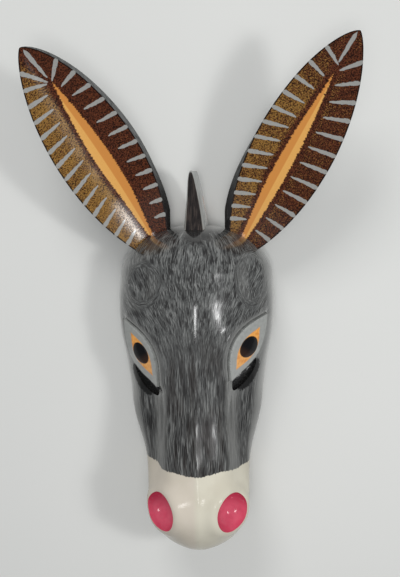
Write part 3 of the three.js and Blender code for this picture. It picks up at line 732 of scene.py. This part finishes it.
class Sheet:
    """A node tree: every call adds one node and gives its output."""

    def __init__(self, tree):
        self.tree = tree

    def node(self, kind, **settings):
        node = self.tree.nodes.new(kind)
        for key, value in settings.items():
            setattr(node, key, value)
        return node

    def feed(self, socket, value):
        if isinstance(value, Wire):
            self.tree.links.new(value.socket, socket)
        else:
            socket.default_value = value

    def result(self, node, output, *values, **named):
        """Feeds a node, in order or by name, and gives one of its outputs."""
        for socket, value in zip(node.inputs, values):
            self.feed(socket, value)
        for key, value in named.items():
            self.feed(node.inputs[key.replace("_", " ")], value)
        return Wire(self, node.outputs[output])

    def source(self, kind, output, **settings):
        return self.result(self.node(kind, **settings), output)

    def math(self, operation, a, b=0.0):
        return self.result(self.node("ShaderNodeMath", operation=operation), 0, a, b)

    def low(self, a, b):
        return self.math("MINIMUM", a, b)

    def high(self, a, b):
        return self.math("MAXIMUM", a, b)

    def vector(self, x, y, z=0.0):
        return self.result(self.node("ShaderNodeCombineXYZ"), 0, x, y, z)

    def parts(self, vector):
        node = self.node("ShaderNodeSeparateXYZ")
        self.feed(node.inputs[0], vector)
        return [Wire(self, socket) for socket in node.outputs]

    def facing(self):
        return self.source("ShaderNodeNewGeometry", "Normal")

    def group(self, name, **values):
        node = self.node("ShaderNodeGroup", node_tree=bpy.data.node_groups[name])
        for key, value in values.items():
            self.feed(node.inputs[key], value)
        return {socket.name: Wire(self, socket) for socket in node.outputs}

    def wear(self, out, colour, roughness, height, strength, depth):
        """Gives a shader its colour, its roughness and its relief, as deep as said in metres."""
        node = self.node("ShaderNodeBump")
        node.inputs["Strength"].default_value = strength
        node.inputs["Distance"].default_value = depth
        self.feed(out["Base Color"], colour)
        self.feed(out["Roughness"], roughness)
        self.feed(out["Normal"], self.result(node, "Normal", Height=height))


def new_group(name, inputs, outputs):
    tree = bpy.data.node_groups.new(name, "ShaderNodeTree")
    for key, kind, value in inputs:
        socket = tree.interface.new_socket(key, in_out="INPUT", socket_type=kind)
        if value is not None:
            socket.default_value = value
    for key, kind in outputs:
        tree.interface.new_socket(key, in_out="OUTPUT", socket_type=kind)
    sheet = Sheet(tree)
    entry = {socket.name: Wire(sheet, socket) for socket in sheet.node("NodeGroupInput").outputs}
    leave = sheet.node("NodeGroupOutput").inputs
    return sheet, entry, leave


NUMBER, VECTOR = "NodeSocketFloat", "NodeSocketVector"
TINY = 0.0001  # keeps what a power is taken of above 0
STROKE_WIDTH, STROKE_STRETCH, STROKE_SHIFT = 4.7, 1.08, 0.1


def brush_group():
    """Dry-brush streaks that run along Y of the given place, in millimetres."""
    sheet, entry, leave = new_group(
        "dry_brush",
        [("Place", VECTOR, None), ("Across", NUMBER, 0.50), ("Along", NUMBER, 9.0)],
        [("Light", NUMBER), ("Dark", NUMBER), ("Height", NUMBER)],
    )
    x, y, _ = sheet.parts(entry["Place"])
    x = x + (entry["Place"].noise(0.03, 1.0) - 0.5) * 4.0
    wide, long = entry["Across"] * 6.0, entry["Along"] * 2.5
    across, along = x / entry["Across"], y / entry["Along"]
    hairs = sheet.vector(across, along).noise(1.0, 2.0, 0.55)
    scratch = sheet.vector(across, along, 9.0).noise(1.0, 2.0, 0.55)
    bands = sheet.vector(x / wide, y / long, 4.0).noise(1.0, 2.0) - 0.5
    loaded = hairs - bands * 0.35
    dry = scratch + bands * 0.35
    sheet.feed(leave["Light"], dry.step(0.5, 0.6))
    sheet.feed(leave["Dark"], loaded.step(0.49, 0.57))
    sheet.feed(leave["Height"], scratch - hairs * 0.5)


def lacquer_group():
    """Gloss that varies a little, with the soft ripple of brushed lacquer."""
    sheet, entry, leave = new_group(
        "lacquer",
        [("Place", VECTOR, None), ("Least", NUMBER, 0.11), ("Most", NUMBER, 0.19)],
        [("Roughness", NUMBER), ("Height", NUMBER)],
    )
    cloud = entry["Place"].noise(0.06, 3.0)
    spread = (entry["Most"] - entry["Least"]) * cloud.step(0.3, 0.7)
    sheet.feed(leave["Roughness"], entry["Least"] + spread)
    sheet.feed(leave["Height"], entry["Place"].noise(0.16, 2.0))


def hand_edge_group():
    """A painted edge, wavy as a hand-held brush leaves it. Distance is in millimetres."""
    sheet, entry, leave = new_group(
        "hand_edge",
        [("Distance", NUMBER, 0.0), ("Place", VECTOR, None),
         ("Wobble", NUMBER, 0.8), ("Soft", NUMBER, 0.35)],
        [("Mask", NUMBER)],
    )
    slow = entry["Place"].noise(0.13, 1.0) - 0.5
    quick = entry["Place"].noise(0.7, 2.0) - 0.5
    edge = entry["Distance"] + entry["Wobble"] * (slow * 1.6 + quick)
    sheet.feed(leave["Mask"], edge.step(entry["Soft"] * -1.0, entry["Soft"]))


def stroke_group():
    """One brushed leaf-shaped stroke, full near its start and drawn out to a point."""
    sheet, entry, leave = new_group(
        "ear_stroke",
        [(key, NUMBER, 0.0) for key in ("Q", "Run", "Wobble", "StartQ", "StartRun", "AheadRun")]
        + [("AheadQ", NUMBER, 1.0), ("Length", NUMBER, 20.0), ("Width", NUMBER, STROKE_WIDTH)],
        [("Mask", NUMBER)],
    )
    q, run = entry["Q"] - entry["StartQ"], entry["Run"] - entry["StartRun"]
    ahead = q * entry["AheadQ"] + run * entry["AheadRun"]
    off = run * entry["AheadQ"] - q * entry["AheadRun"]
    share = ahead / entry["Length"]
    drawn_out = sheet.high(1.0 - share, TINY) ** 0.36
    belly = share.step(-0.14, 0.12) * drawn_out
    thick = belly * (entry["Width"] * 0.54)
    drawn = (thick - abs(off + entry["Wobble"])).step(-0.1, 0.35)
    ends = share.step(-0.1, -0.04) * share.step(1.0, 0.98)
    sheet.feed(leave["Mask"], drawn * ends)


# Gloss of the paint under the lacquer, and how rough the lacquer over it is
PLAIN_GLOSS, HEAD_GLOSS, EAR_GLOSS, COAT_ROUGHNESS = 0.5, 0.05, 0.02, 0.13


def new_paint(name, base_gloss=PLAIN_GLOSS):
    material = bpy.data.materials.new(name)
    material.use_nodes = True
    out = material.node_tree.nodes["Principled BSDF"].inputs
    out["Specular IOR Level"].default_value = base_gloss
    out["Coat Roughness"].default_value = COAT_ROUGHNESS
    sheet = Sheet(material.node_tree)
    return material, sheet, out, millimetres(sheet)


def millimetres(sheet):
    """Object coordinates in millimetres, counted from the poll on the ridge line."""
    scaled = sheet.node("ShaderNodeVectorMath", operation="MULTIPLY_ADD")
    in_metres = sheet.source("ShaderNodeTexCoord", "Object")
    return sheet.result(scaled, 0, in_metres, (1 / MM, 1 / MM, 1 / MM), (-RIDGE_X, -POLL_Y, 0.0))


def own_map(sheet):
    return sheet.parts(sheet.source("ShaderNodeUVMap", 0, uv_map="UVMap"))


GREY_DARK = (0.018, 0.017, 0.017, 1)
GREY_MID = (0.089, 0.092, 0.090, 1)
GREY_LIGHT = (0.250, 0.255, 0.247, 1)
GREY_SIDE = (0.215, 0.217, 0.209, 1)
BRIDGE_BROWN = (0.022, 0.017, 0.015, 1)
EYE_GREY = (0.345, 0.355, 0.340, 1)
ORANGE = (0.86, 0.40, 0.095, 1)
ORANGE_DEEP = (0.70, 0.27, 0.05, 1)
BLACK = (0.004, 0.004, 0.005, 1)
PUPIL_REFLECTION_BROWN = (0.045, 0.022, 0.014, 1)
CREAM = (0.62, 0.59, 0.49, 1)
CREAM_MOTTLE_AND_SHADE = (0.47, 0.43, 0.34, 1)
PINK = (0.66, 0.100, 0.165, 1)
PINK_DARK_MOTTLE_AND_SHADE = (0.50, 0.030, 0.080, 1)
FILLER_BROWN = (0.085, 0.060, 0.045, 1)
GREY_NOSE = (0.055, 0.055, 0.055, 1)
FOOT_BLACK = (0.014, 0.013, 0.013, 1)
CREAM_LEFT_SHADE = (0.56, 0.48, 0.42, 1)
RIM_WOOD = (0.42, 0.28, 0.16, 1)
RECESS_SHADE_BLACK = (0.010, 0.010, 0.010, 1)
EYE_GREY_SHADE = (0.24, 0.245, 0.235, 1)
LID_BLACK, LID_FLECK = (0.008, 0.008, 0.008, 1), (0.06, 0.058, 0.054, 1)
HOLLOW_WOOD, HOLLOW_GRAIN = (0.47, 0.31, 0.18, 1), (0.30, 0.18, 0.09, 1)
LOCK_BLACK, LOCK_BROWN = (0.010, 0.008, 0.008, 1), (0.055, 0.042, 0.036, 1)
LOCK_GREY, LOCK_GREY_DARK = (0.39, 0.40, 0.385, 1), (0.16, 0.16, 0.155, 1)
LOCK_WOOD, LOCK_WOOD_SPECK = (0.60, 0.36, 0.23, 1), (0.05, 0.03, 0.02, 1)
EAR_FOOT_BLACK = (0.012, 0.011, 0.011, 1)
FLOOR_SHADE, FLOOR_PALE, FLOOR_ROUGHNESS = (0.66, 0.67, 0.65, 1), (0.72, 0.72, 0.70, 1), 0.85
MUZZLE_LINE_Y = -257.5


def blend(share, a, b):
    return a + (b - a) * share


def near_spot(sheet, x, y, spot, size):
    """Distance from a spot, 1 at the edge of an ellipse of the given half sizes."""
    dx = (x - spot[0]) / size[0]
    dy = (y - spot[1]) / size[1]
    return sheet.math("SQRT", dx * dx + dy * dy), dx, dy


def head_paint():
    material, sheet, out, point = new_paint("head_paint", HEAD_GLOSS)
    x, y, z = sheet.parts(point)
    u_raw, t, _ = own_map(sheet)
    u = RIDGE_U - abs(u_raw - RIDGE_U)
    # The strokes fan out from the poll, run down the nose and turn round the temple dishes
    fan = 1.0 + t.step(0.42, 0.05) * 1.6
    flow = sheet.vector((u_raw - RIDGE_U) * 26.0 / fan, t * HEAD_LENGTH)
    brush = sheet.group("dry_brush", Place=flow)
    nose = sheet.group("dry_brush", Place=flow, Across=0.85, Along=20.0)
    on_nose = t.step(0.3, 0.48)
    light, dark = (blend(on_nose, brush[key], nose[key]) for key in ("Light", "Dark"))
    for name, (dish_out, at, half_x, half_y, _) in DISHES.items():
        spot = (SIDES[name] * dish_out * HALF_WIDTH, -at * HEAD_LENGTH)
        reach, dx, dy = near_spot(sheet, x, y, spot, (half_x, half_y))
        angle = sheet.math("ARCTAN2", dy, dx * -SIDES[name])
        way = sheet.vector(reach * half_y, angle * half_y)
        round_rim = sheet.group("dry_brush", Place=way)
        share = abs(reach - 1.0).step(0.24, 0.06)
        light = blend(share, light, round_rim["Light"])
        dark = blend(share, dark, round_rim["Dark"])
    gloss = sheet.group("lacquer", Place=point)
    middle = (on_nose * 0.5).mix(GREY_MID, GREY_NOSE)
    grey = (light * 0.62).mix(middle, GREY_LIGHT)
    grey = (dark * 0.9).mix(grey, GREY_DARK)
    on_bridge = u.step(3.6, 4.3) * t.step(0.3, 0.45)
    fx, fy, _ = sheet.parts(flow)
    loaded = sheet.vector(fx * 0.16, fy * 0.02, 3.0).noise(1.0, 2.0).step(0.42, 0.62)
    grey = (on_bridge * loaded * 0.5).mix(grey, BRIDGE_BROWN)
    # Smoother and paler on the sides, in the creases beside the bridge and round the eyes
    smooth_side = u.step(2.25, 1.65) * 0.84
    crease = abs(u - 3.35).step(0.75, 0.2) * t.step(0.42, 0.52)
    smooth_side = sheet.high(smooth_side, crease * 0.5)
    grey = smooth_side.mix(grey, GREY_SIDE)
    # Brown filler under the ears' feet, and black paint round the forelock's foot
    smear = (point.noise(0.22, 3.0) - 0.5) * 1.6
    for spot in ((-46.0, -24.0), (47.0, -20.0)):
        reach, _, _ = near_spot(sheet, x, y, spot, (9.0, 6.5))
        grey = ((reach + smear).step(1.2, 0.6) * 0.55).mix(grey, FILLER_BROWN)
    reach, _, _ = near_spot(sheet, x, y, (3.0, -10.0), (15.0, 14.0))
    grey = ((reach + smear).step(1.15, 0.85) * 0.8).mix(grey, FOOT_BLACK)
    # Cream muzzle below a brushed line
    rise = abs(x).step(3.0, 27.0) * 3.4 + x.step(-34.0, -43.0) * 4.5 - x.step(30.0, 40.0) * 1.4
    line = rise + MUZZLE_LINE_Y - y
    ragged = (sheet.vector(x * 0.8, y * 0.15).noise(1.0, 2.0) - 0.5) * 3.2
    below = sheet.group("hand_edge", Distance=line + ragged, Place=point, Wobble=0.7)["Mask"]
    cream_cloud = point.noise(0.035, 3.0).step(0.4, 0.7) * 0.3
    # Painted shade: the cream darkens low down, where the muzzle turns under towards the rim; the
    # same darker cream also serves for random mottling
    under = z.step(92.0, 50.0) * 0.7
    # Painted shade: the cream left of the ridge is darker and warmer, as that facet is turned from
    # the light
    cream = (x.step(2.0, -4.0) * 0.5).mix(CREAM, CREAM_LEFT_SHADE)
    cream = sheet.high(cream_cloud, under).mix(cream, CREAM_MOTTLE_AND_SHADE)
    colour = below.mix(grey, cream)
    black = 0.0
    for eye in EYES.values():
        colour, blacks = eye_paint(sheet, point, x, y, colour, eye)
        black = sheet.high(black, blacks)
    worn = sheet.high(black * 0.68, t.step(0.5, 0.6) * 0.78)
    sheet.feed(out["Coat Weight"], 1.0 - worn)
    # Bare wood on the back rim
    back = sheet.parts(sheet.facing())[2].step(-0.9, -0.97) * z.step(2.0, 0.5)
    colour = back.mix(colour, RIM_WOOD)
    height = brush["Height"] * 0.5 + gloss["Height"] * 0.6
    roughness = gloss["Roughness"] + back * 0.4
    sheet.wear(out, colour, roughness, height, 0.22, 0.0005)
    return material


def leaf_edge(sheet, a, middle, half, width, power):
    """Half width of a leaf shape along a, and how far a lies within its two ends."""
    reach = (a - middle) / half
    full = sheet.high(1.0 - reach * reach, TINY)
    return full ** power * width, half - abs(a - middle)


def eye_paint(sheet, point, x, y, colour, eye):
    """A pale almond, orange at its two ends, with a black pupil between."""
    dx, dy = x - eye.x, y - eye.y
    a = dx * eye.along[0] + dy * eye.along[1]
    b = dx * eye.across[0] + dy * eye.across[1]
    brow, ends = leaf_edge(sheet, a, 0.0, EYE_LENGTH / 2, eye.brow, EYE_FULLNESS)
    cheek = brow * (eye.cheek / eye.brow)
    inside = sheet.low(sheet.low(brow - b, cheek + b), ends)
    round_eye = inside.step(-9.0, -2.0) * ends.step(-2.0, 3.0) * 0.6
    colour = round_eye.mix(colour, GREY_SIDE)
    # Dark paint and painted shade: a black patch below the almond carries the recess's darkness out
    # onto the cheek
    shade, _, _ = near_spot(sheet, a, b, (26.0, -eye.drop - 6.5), (19.0, 8.5))
    uneven = (point.noise(0.5, 3.0) - 0.5) * 0.5
    shade = (shade + uneven).step(1.06, 0.94) * inside.step(0.0, -0.5)
    colour = (shade * 0.95).mix(colour, RECESS_SHADE_BLACK)
    almond = sheet.group("hand_edge", Distance=inside + 0.4, Place=point, Wobble=0.4)["Mask"]
    mottle = point.noise(0.3, 3.0).step(0.35, 0.7)
    pale = (mottle * 0.4).mix(EYE_GREY, EYE_GREY_SHADE)
    colour = almond.mix(colour, pale)
    width, ends = leaf_edge(sheet, a, 1.5, 25.5, eye.pupil[1] + 0.6, 1.25)
    inside = sheet.low(width - abs(b), ends)
    corner = sheet.group("hand_edge", Distance=inside, Place=point, Wobble=0.5)["Mask"]
    warm = point.noise(0.25, 2.0).step(0.4, 0.65).mix(ORANGE, ORANGE_DEEP)
    colour = corner.mix(colour, warm)
    ring, _, _ = near_spot(sheet, a, b, (0.0, 0.0), (eye.pupil[0] + 0.6, eye.pupil[1] + 0.6))
    within = (1.0 - ring) * 9.0
    pupil = sheet.group("hand_edge", Distance=within, Place=point, Wobble=0.3)["Mask"]
    # Painted reflection: the pupil's lower part is painted brown, for the room mirrored in its
    # glossy black
    mirrored_part = a.step(0.0, 9.0) * 0.7
    dark = mirrored_part.mix(BLACK, PUPIL_REFLECTION_BROWN)
    return pupil.mix(colour, dark), sheet.high(pupil, shade)


def nostril_paint():
    material, sheet, out, point = new_paint("nostril_paint")
    _, y, _ = sheet.parts(point)
    gloss = sheet.group("lacquer", Place=point, Least=0.10, Most=0.18)
    cloud = point.noise(0.12, 3.0).step(0.35, 0.7) * 0.35
    middle = NOSTRILS["left"][0][1]
    # Painted shade: the upper part of each nostril bowl is darker, where the bowl faces down; the
    # same darker pink also serves for random mottling
    upper = y.step(middle - 2.0, middle + 14.0) * 0.75
    colour = sheet.high(cloud, upper).mix(PINK, PINK_DARK_MOTTLE_AND_SHADE)
    sheet.wear(out, colour, gloss["Roughness"], gloss["Height"], 0.3, 0.0010)
    return material


def shade_paint():
    material, sheet, out, point = new_paint("lid_shadow_paint")
    gloss = sheet.group("lacquer", Place=point, Least=0.2, Most=0.34)
    fleck = point.noise(0.7, 2.0).step(0.56, 0.68)
    colour = (fleck * 0.5).mix(LID_BLACK, LID_FLECK)
    sheet.wear(out, colour, gloss["Roughness"], gloss["Height"], 0.2, 0.0006)
    return material


def raw_wood():
    material, sheet, out, point = new_paint("raw_wood")
    x, y, z = sheet.parts(point)
    grain = sheet.vector(x * 0.16, y * 0.012, z * 0.16).noise(1.0, 4.0, 0.6)
    gouge_place = sheet.vector(x * 0.075, y * 0.03, z * 0.075)
    gouge = sheet.result(sheet.node("ShaderNodeTexVoronoi", feature="SMOOTH_F1"),
                         "Distance", Vector=gouge_place)
    colour = grain.step(0.35, 0.65).mix(HOLLOW_WOOD, HOLLOW_GRAIN)
    height = gouge * 0.8 + grain * 0.2
    sheet.wear(out, colour, 0.55 + grain * 0.2, height, 0.6, 0.002)
    return material


EAR_RED_BROWN = (0.118, 0.036, 0.018, 1)
EAR_GOLD = (0.30, 0.165, 0.043, 1)
EAR_BLACK = (0.012, 0.007, 0.006, 1)
RIB_YELLOW = (0.69, 0.37, 0.105, 1)
RIB_ORANGE = (0.57, 0.24, 0.060, 1)
STROKE_GREY = (0.315, 0.315, 0.300, 1)
BACK_GREY = (0.150, 0.154, 0.150, 1)

# The rib band: half width, lead, span, fullness, middle, its shift at the foot, and its end
BANDS = {"left": (9.3, 0.10, 0.92, 1.12, -8.3, 3.2, 0.82),
         "right": (8.4, 0.14, 0.95, 0.95, -3.4, 0.9, 0.82)}
# The strokes of each edge: how many, from where to where, and their slants and lengths on the way
STROKES = {
    ("left", 1): (14, 0.0225, 0.906, -0.109,
                  [(0, 23), (0.2, 19), (0.4, 12), (0.6, 6), (0.8, -2), (0.906, -50)],
                  [(0, 16.6), (0.4, 27), (0.8, 21.8), (0.906, 27)]),
    ("left", -1): (12, 0.04, 0.871, -0.2,
                   [(0, 10), (0.3, 10), (0.5, 3), (0.68, 2), (0.76, -9), (0.87, -46)],
                   [(0, 10.4), (0.3, 18.7), (0.6, 21.8), (0.76, 18.7), (0.87, 20.8)]),
    ("right", -1): (13, 0.016, 0.87, -0.304,
                    [(0, 23), (0.16, 21), (0.44, 15), (0.53, 3), (0.69, -8), (0.78, -19),
                     (0.87, -29)],
                    [(0, 15.6), (0.2, 24.4), (0.5, 25.5), (0.78, 19.8), (0.87, 20.8)]),
    ("right", 1): (12, 0.02, 0.886, -0.085,
                   [(0, 2), (0.3, -9), (0.5, -13), (0.64, -22), (0.8, -34), (0.886, -48)],
                   [(0, 17.7), (0.3, 29.6), (0.5, 29.1), (0.886, 23.4)]),
}
TIP_STROKES = {"left": (0.975, -2.2, 0.835, -6.5), "right": (0.98, -2.3, 0.845, -4.3)}


def ear_strokes(sheet, name, q, run, wobble):
    """All the grey strokes of one ear, set out one by one along both edges and at the tip."""
    ear, total, rows = EARS[name], 0.0, []
    for side in (1, -1):
        count, first, last, bend, slants, lengths = STROKES[name, side]
        for k in range(count):
            x = k / (count - 1)
            s = first + (last - first) * (x + bend * x * (1 - x))
            slant = math.radians(float(np.interp(s, *zip(*slants))))
            length = STROKE_STRETCH * float(np.interp(s, *zip(*lengths)))
            s += STROKE_SHIFT * s * (1 - s)
            outer, inner = ear_share(s)
            edge = ear.outer * outer if side > 0 else -ear.inner * inner
            ahead = (-side * math.cos(slant), math.sin(slant))
            rows.append((float(edge), s * ear.length, *ahead, length))
    s, start_q, end_s, end_q = TIP_STROKES[name]
    way = np.array([end_q - start_q, (end_s - s) * ear.length])
    length = float(np.linalg.norm(way))
    rows.append((start_q, s * ear.length, *(way / length), length))
    for row in rows:
        values = dict(zip(("StartQ", "StartRun", "AheadQ", "AheadRun", "Length"), row))
        stroke = sheet.group("ear_stroke", Q=q, Run=run, Wobble=wobble, **values)
        total = sheet.high(total, stroke["Mask"])
    return total


def ear_paint(name):
    material, sheet, out, point = new_paint(f"{name}_ear_paint", EAR_GLOSS)
    ear = EARS[name]
    q, s, _ = own_map(sheet)
    run = s * ear.length
    share = (s + EAR_ROOT) / (1 + EAR_ROOT)
    width = sheet.high(share * (1.0 - share) * 4.0, TINY) ** EAR_FULLNESS
    gain = 1.0 - s.step(EAR_TIP_START, EAR_TIP_END) * EAR_TIP_GAIN
    from_edge = sheet.low(width * ear.outer - q, width ** gain * ear.inner + q)
    from_crease = q + width * ear.rib
    gloss = sheet.group("lacquer", Place=point)
    # Sponged: red-brown and golden flecks over near black
    fleck = point.noise(0.75, 3.0, 0.7)
    grain = sheet.vector(q * 0.4, run * 1.1, 5.0).noise(1.0, 3.0, 0.7)
    cloud = point.noise(0.055, 2.0)
    # Golden flecks are real paint. Painted light: the flank of the groove that faces the light from
    # the right gets more gold, the outer flank on the left ear and the inner one on the right ear
    if name == "left":
        gold_and_lit_flank = 0.1 + from_crease.step(-4.0, 12.0) * 0.62 - s.step(0.7, 0.95) * 0.25
    else:
        gold_and_lit_flank = 0.62 - from_crease.step(0.0, 20.0) * 0.32 - s.step(0.62, 0.9) * 0.3
    gold_and_lit_flank = gold_and_lit_flank + (cloud - 0.5) * 0.5
    # The rib band and the dark halo round it
    most, lead, span, power, middle, shift, end = BANDS[name]
    reach = sheet.high((s + lead) / span, TINY) ** power
    swell = sheet.math("SINE", sheet.low(reach, 1.0) * math.pi)
    centre = middle + s.step(0.25, 0.0) * shift
    ticks = (sheet.vector(run * 0.55, q * 0.12).noise(1.0, 3.0, 0.65) - 0.5) * 6.5
    inside = swell * most - abs(q - centre)
    halo = (inside + ticks * 0.6).step(-7.5, -1.0)
    gold_and_lit_flank = gold_and_lit_flank - halo * 0.5
    base = 0.6 - gold_and_lit_flank * 0.24
    colour = fleck.step(0.4, 0.6).mix(EAR_BLACK, EAR_RED_BROWN)
    sponged = fleck * 0.45 + grain * 0.55
    colour = sponged.step(base, base + 0.13).mix(colour, EAR_GOLD)
    warm = from_crease.step(0.6, -0.6).mix(RIB_YELLOW, RIB_ORANGE)
    warm = (grain.step(0.5, 0.72) * 0.45).mix(warm, RIB_ORANGE)
    band = (inside + ticks).step(-0.2, 1.0) * s.step(end + 0.01, end - 0.01)
    colour = band.mix(colour, warm)
    # A near-black line along the rim, then the grey strokes from the edge inwards
    rim_line = (from_edge + ticks * 0.15).step(1.7, 0.9)
    colour = rim_line.mix(colour, EAR_BLACK)
    wobble = (point.noise(0.22, 2.0) - 0.5) * 2.2
    strokes = ear_strokes(sheet, name, q, run, wobble)
    thin = 1.0 - fleck.step(0.45, 0.3) * 0.35
    colour = (strokes * thin).mix(colour, STROKE_GREY)
    # Grey on the back, black near its foot
    turn = sheet.result(sheet.node("ShaderNodeVectorMath", operation="DOT_PRODUCT"), "Value",
                        sheet.facing(), tuple(ear.facing))
    behind = sheet.high(turn.step(0.5, 0.4), from_edge.step(0.1, -0.1))
    brush = sheet.group("dry_brush", Place=sheet.vector(q, run))
    grey = (brush["Dark"] * 0.6).mix(BACK_GREY, GREY_DARK)
    grey = s.step(0.35, 0.05).mix(grey, EAR_FOOT_BLACK)
    colour = behind.mix(colour, grey)
    sheet.feed(out["Coat Weight"], s.step(0.24, 0.08))
    sheet.wear(out, colour, gloss["Roughness"], gloss["Height"], 0.18, 0.0006)
    return material


def forelock_paint():
    material, sheet, out, point = new_paint("forelock_paint")
    x, y, z = sheet.parts(point)
    gloss = sheet.group("lacquer", Place=point)
    brush = sheet.group("dry_brush", Place=sheet.vector(x, y), Along=18.0)
    dark = brush["Light"].mix(LOCK_BLACK, LOCK_BROWN)
    flank = sheet.parts(sheet.facing())[2].step(0.75, 0.55)
    grey = (brush["Dark"] * 0.35).mix(LOCK_GREY, LOCK_GREY_DARK)
    colour = flank.mix(dark, grey)
    # The rear edge left as raw wood, with dark specks in it
    rear = 8.0 + (y - FORELOCK_FOOT) * (34.0 / (FORELOCK_TOP - FORELOCK_FOOT))
    bare = (z - rear).step(14.0, 11.0) * flank
    bare = bare * (y.step(31.0, 26.0) * y.step(0.0, 5.0))
    speck = point.noise(0.55, 2.0).step(0.56, 0.64)
    wood = speck.mix(LOCK_WOOD, LOCK_WOOD_SPECK)
    colour = bare.mix(colour, wood)
    sheet.wear(out, colour, gloss["Roughness"], brush["Height"], 0.25, 0.0005)
    return material


def floor_paint():
    material = bpy.data.materials.new("pale_floor")
    material.use_nodes = True
    sheet = Sheet(material.node_tree)
    out = material.node_tree.nodes["Principled BSDF"].inputs
    cloud = sheet.source("ShaderNodeTexCoord", "Object").noise(2.2, 3.0)
    sheet.feed(out["Base Color"], cloud.mix(FLOOR_SHADE, FLOOR_PALE))
    out["Roughness"].default_value = FLOOR_ROUGHNESS
    return material


# The stage: a plain floor and soft lamps

FLOOR_SIZE = 8
ROOM_COLOUR, ROOM_LIGHT = (0.95, 0.97, 1.0, 1), 0.28
LAMP_AIM = Vector((0, 0, 0.05))
# Name, place, size and power. Broad lamps light the scene; the lacquer mirrors the narrow two
LAMPS = [
    ("lamp_upper_left", (-0.39, 1.17, 1.25), (0.65, 0.65), 10.0, False),
    ("lamp_right", (0.957, -0.036, 1.25), (0.35, 0.35), 3.5, False),
    ("lamp_over_camera", (0.0, -0.05, 1.30), (0.50, 0.50), 2.8, False),
    ("glint_right", (0.957, -0.036, 1.25), (0.16, 0.16), 4.0, True),
    ("glint_over_camera", (0.0, -0.13, 1.25), (0.18, 0.24), 2.0, True),
]


def make_stage():
    deselect()
    bpy.ops.mesh.primitive_plane_add(size=FLOOR_SIZE)
    floor = bpy.context.object
    floor.name = "floor"
    floor.data.materials.append(floor_paint())
    world = bpy.data.worlds.new("room")
    bpy.context.scene.world = world
    world.use_nodes = True
    for socket, value in zip(world.node_tree.nodes["Background"].inputs, (ROOM_COLOUR, ROOM_LIGHT)):
        socket.default_value = value
    for name, spot, size, power, mirrored in LAMPS:
        data = bpy.data.lights.new(name, "AREA")
        data.shape = "RECTANGLE"
        data.size, data.size_y = size
        data.energy = power
        lamp = bpy.data.objects.new(name, data)
        lamp.location = spot
        if not name.endswith("over_camera"):
            aim = LAMP_AIM - Vector(spot)
            lamp.rotation_euler = aim.to_track_quat("-Z", "Y").to_euler()
        lamp.visible_glossy = mirrored
        bpy.context.scene.collection.objects.link(lamp)
    bpy.context.scene.view_settings.view_transform = "Standard"


make_camera()
make_stage()
for make_group in (brush_group, lacquer_group, hand_edge_group, stroke_group):
    make_group()
pieces = {"head": make_head(head_paint(), nostril_paint(), shade_paint(), raw_wood())}
for side_name in SIDES:
    pieces[f"{side_name}_ear"] = make_ear(side_name, ear_paint(side_name))
pieces["forelock"] = make_forelock(forelock_paint())
for node, piece in pieces.items():
    keep_within(piece, node)
    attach(piece, "root")
    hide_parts(node)
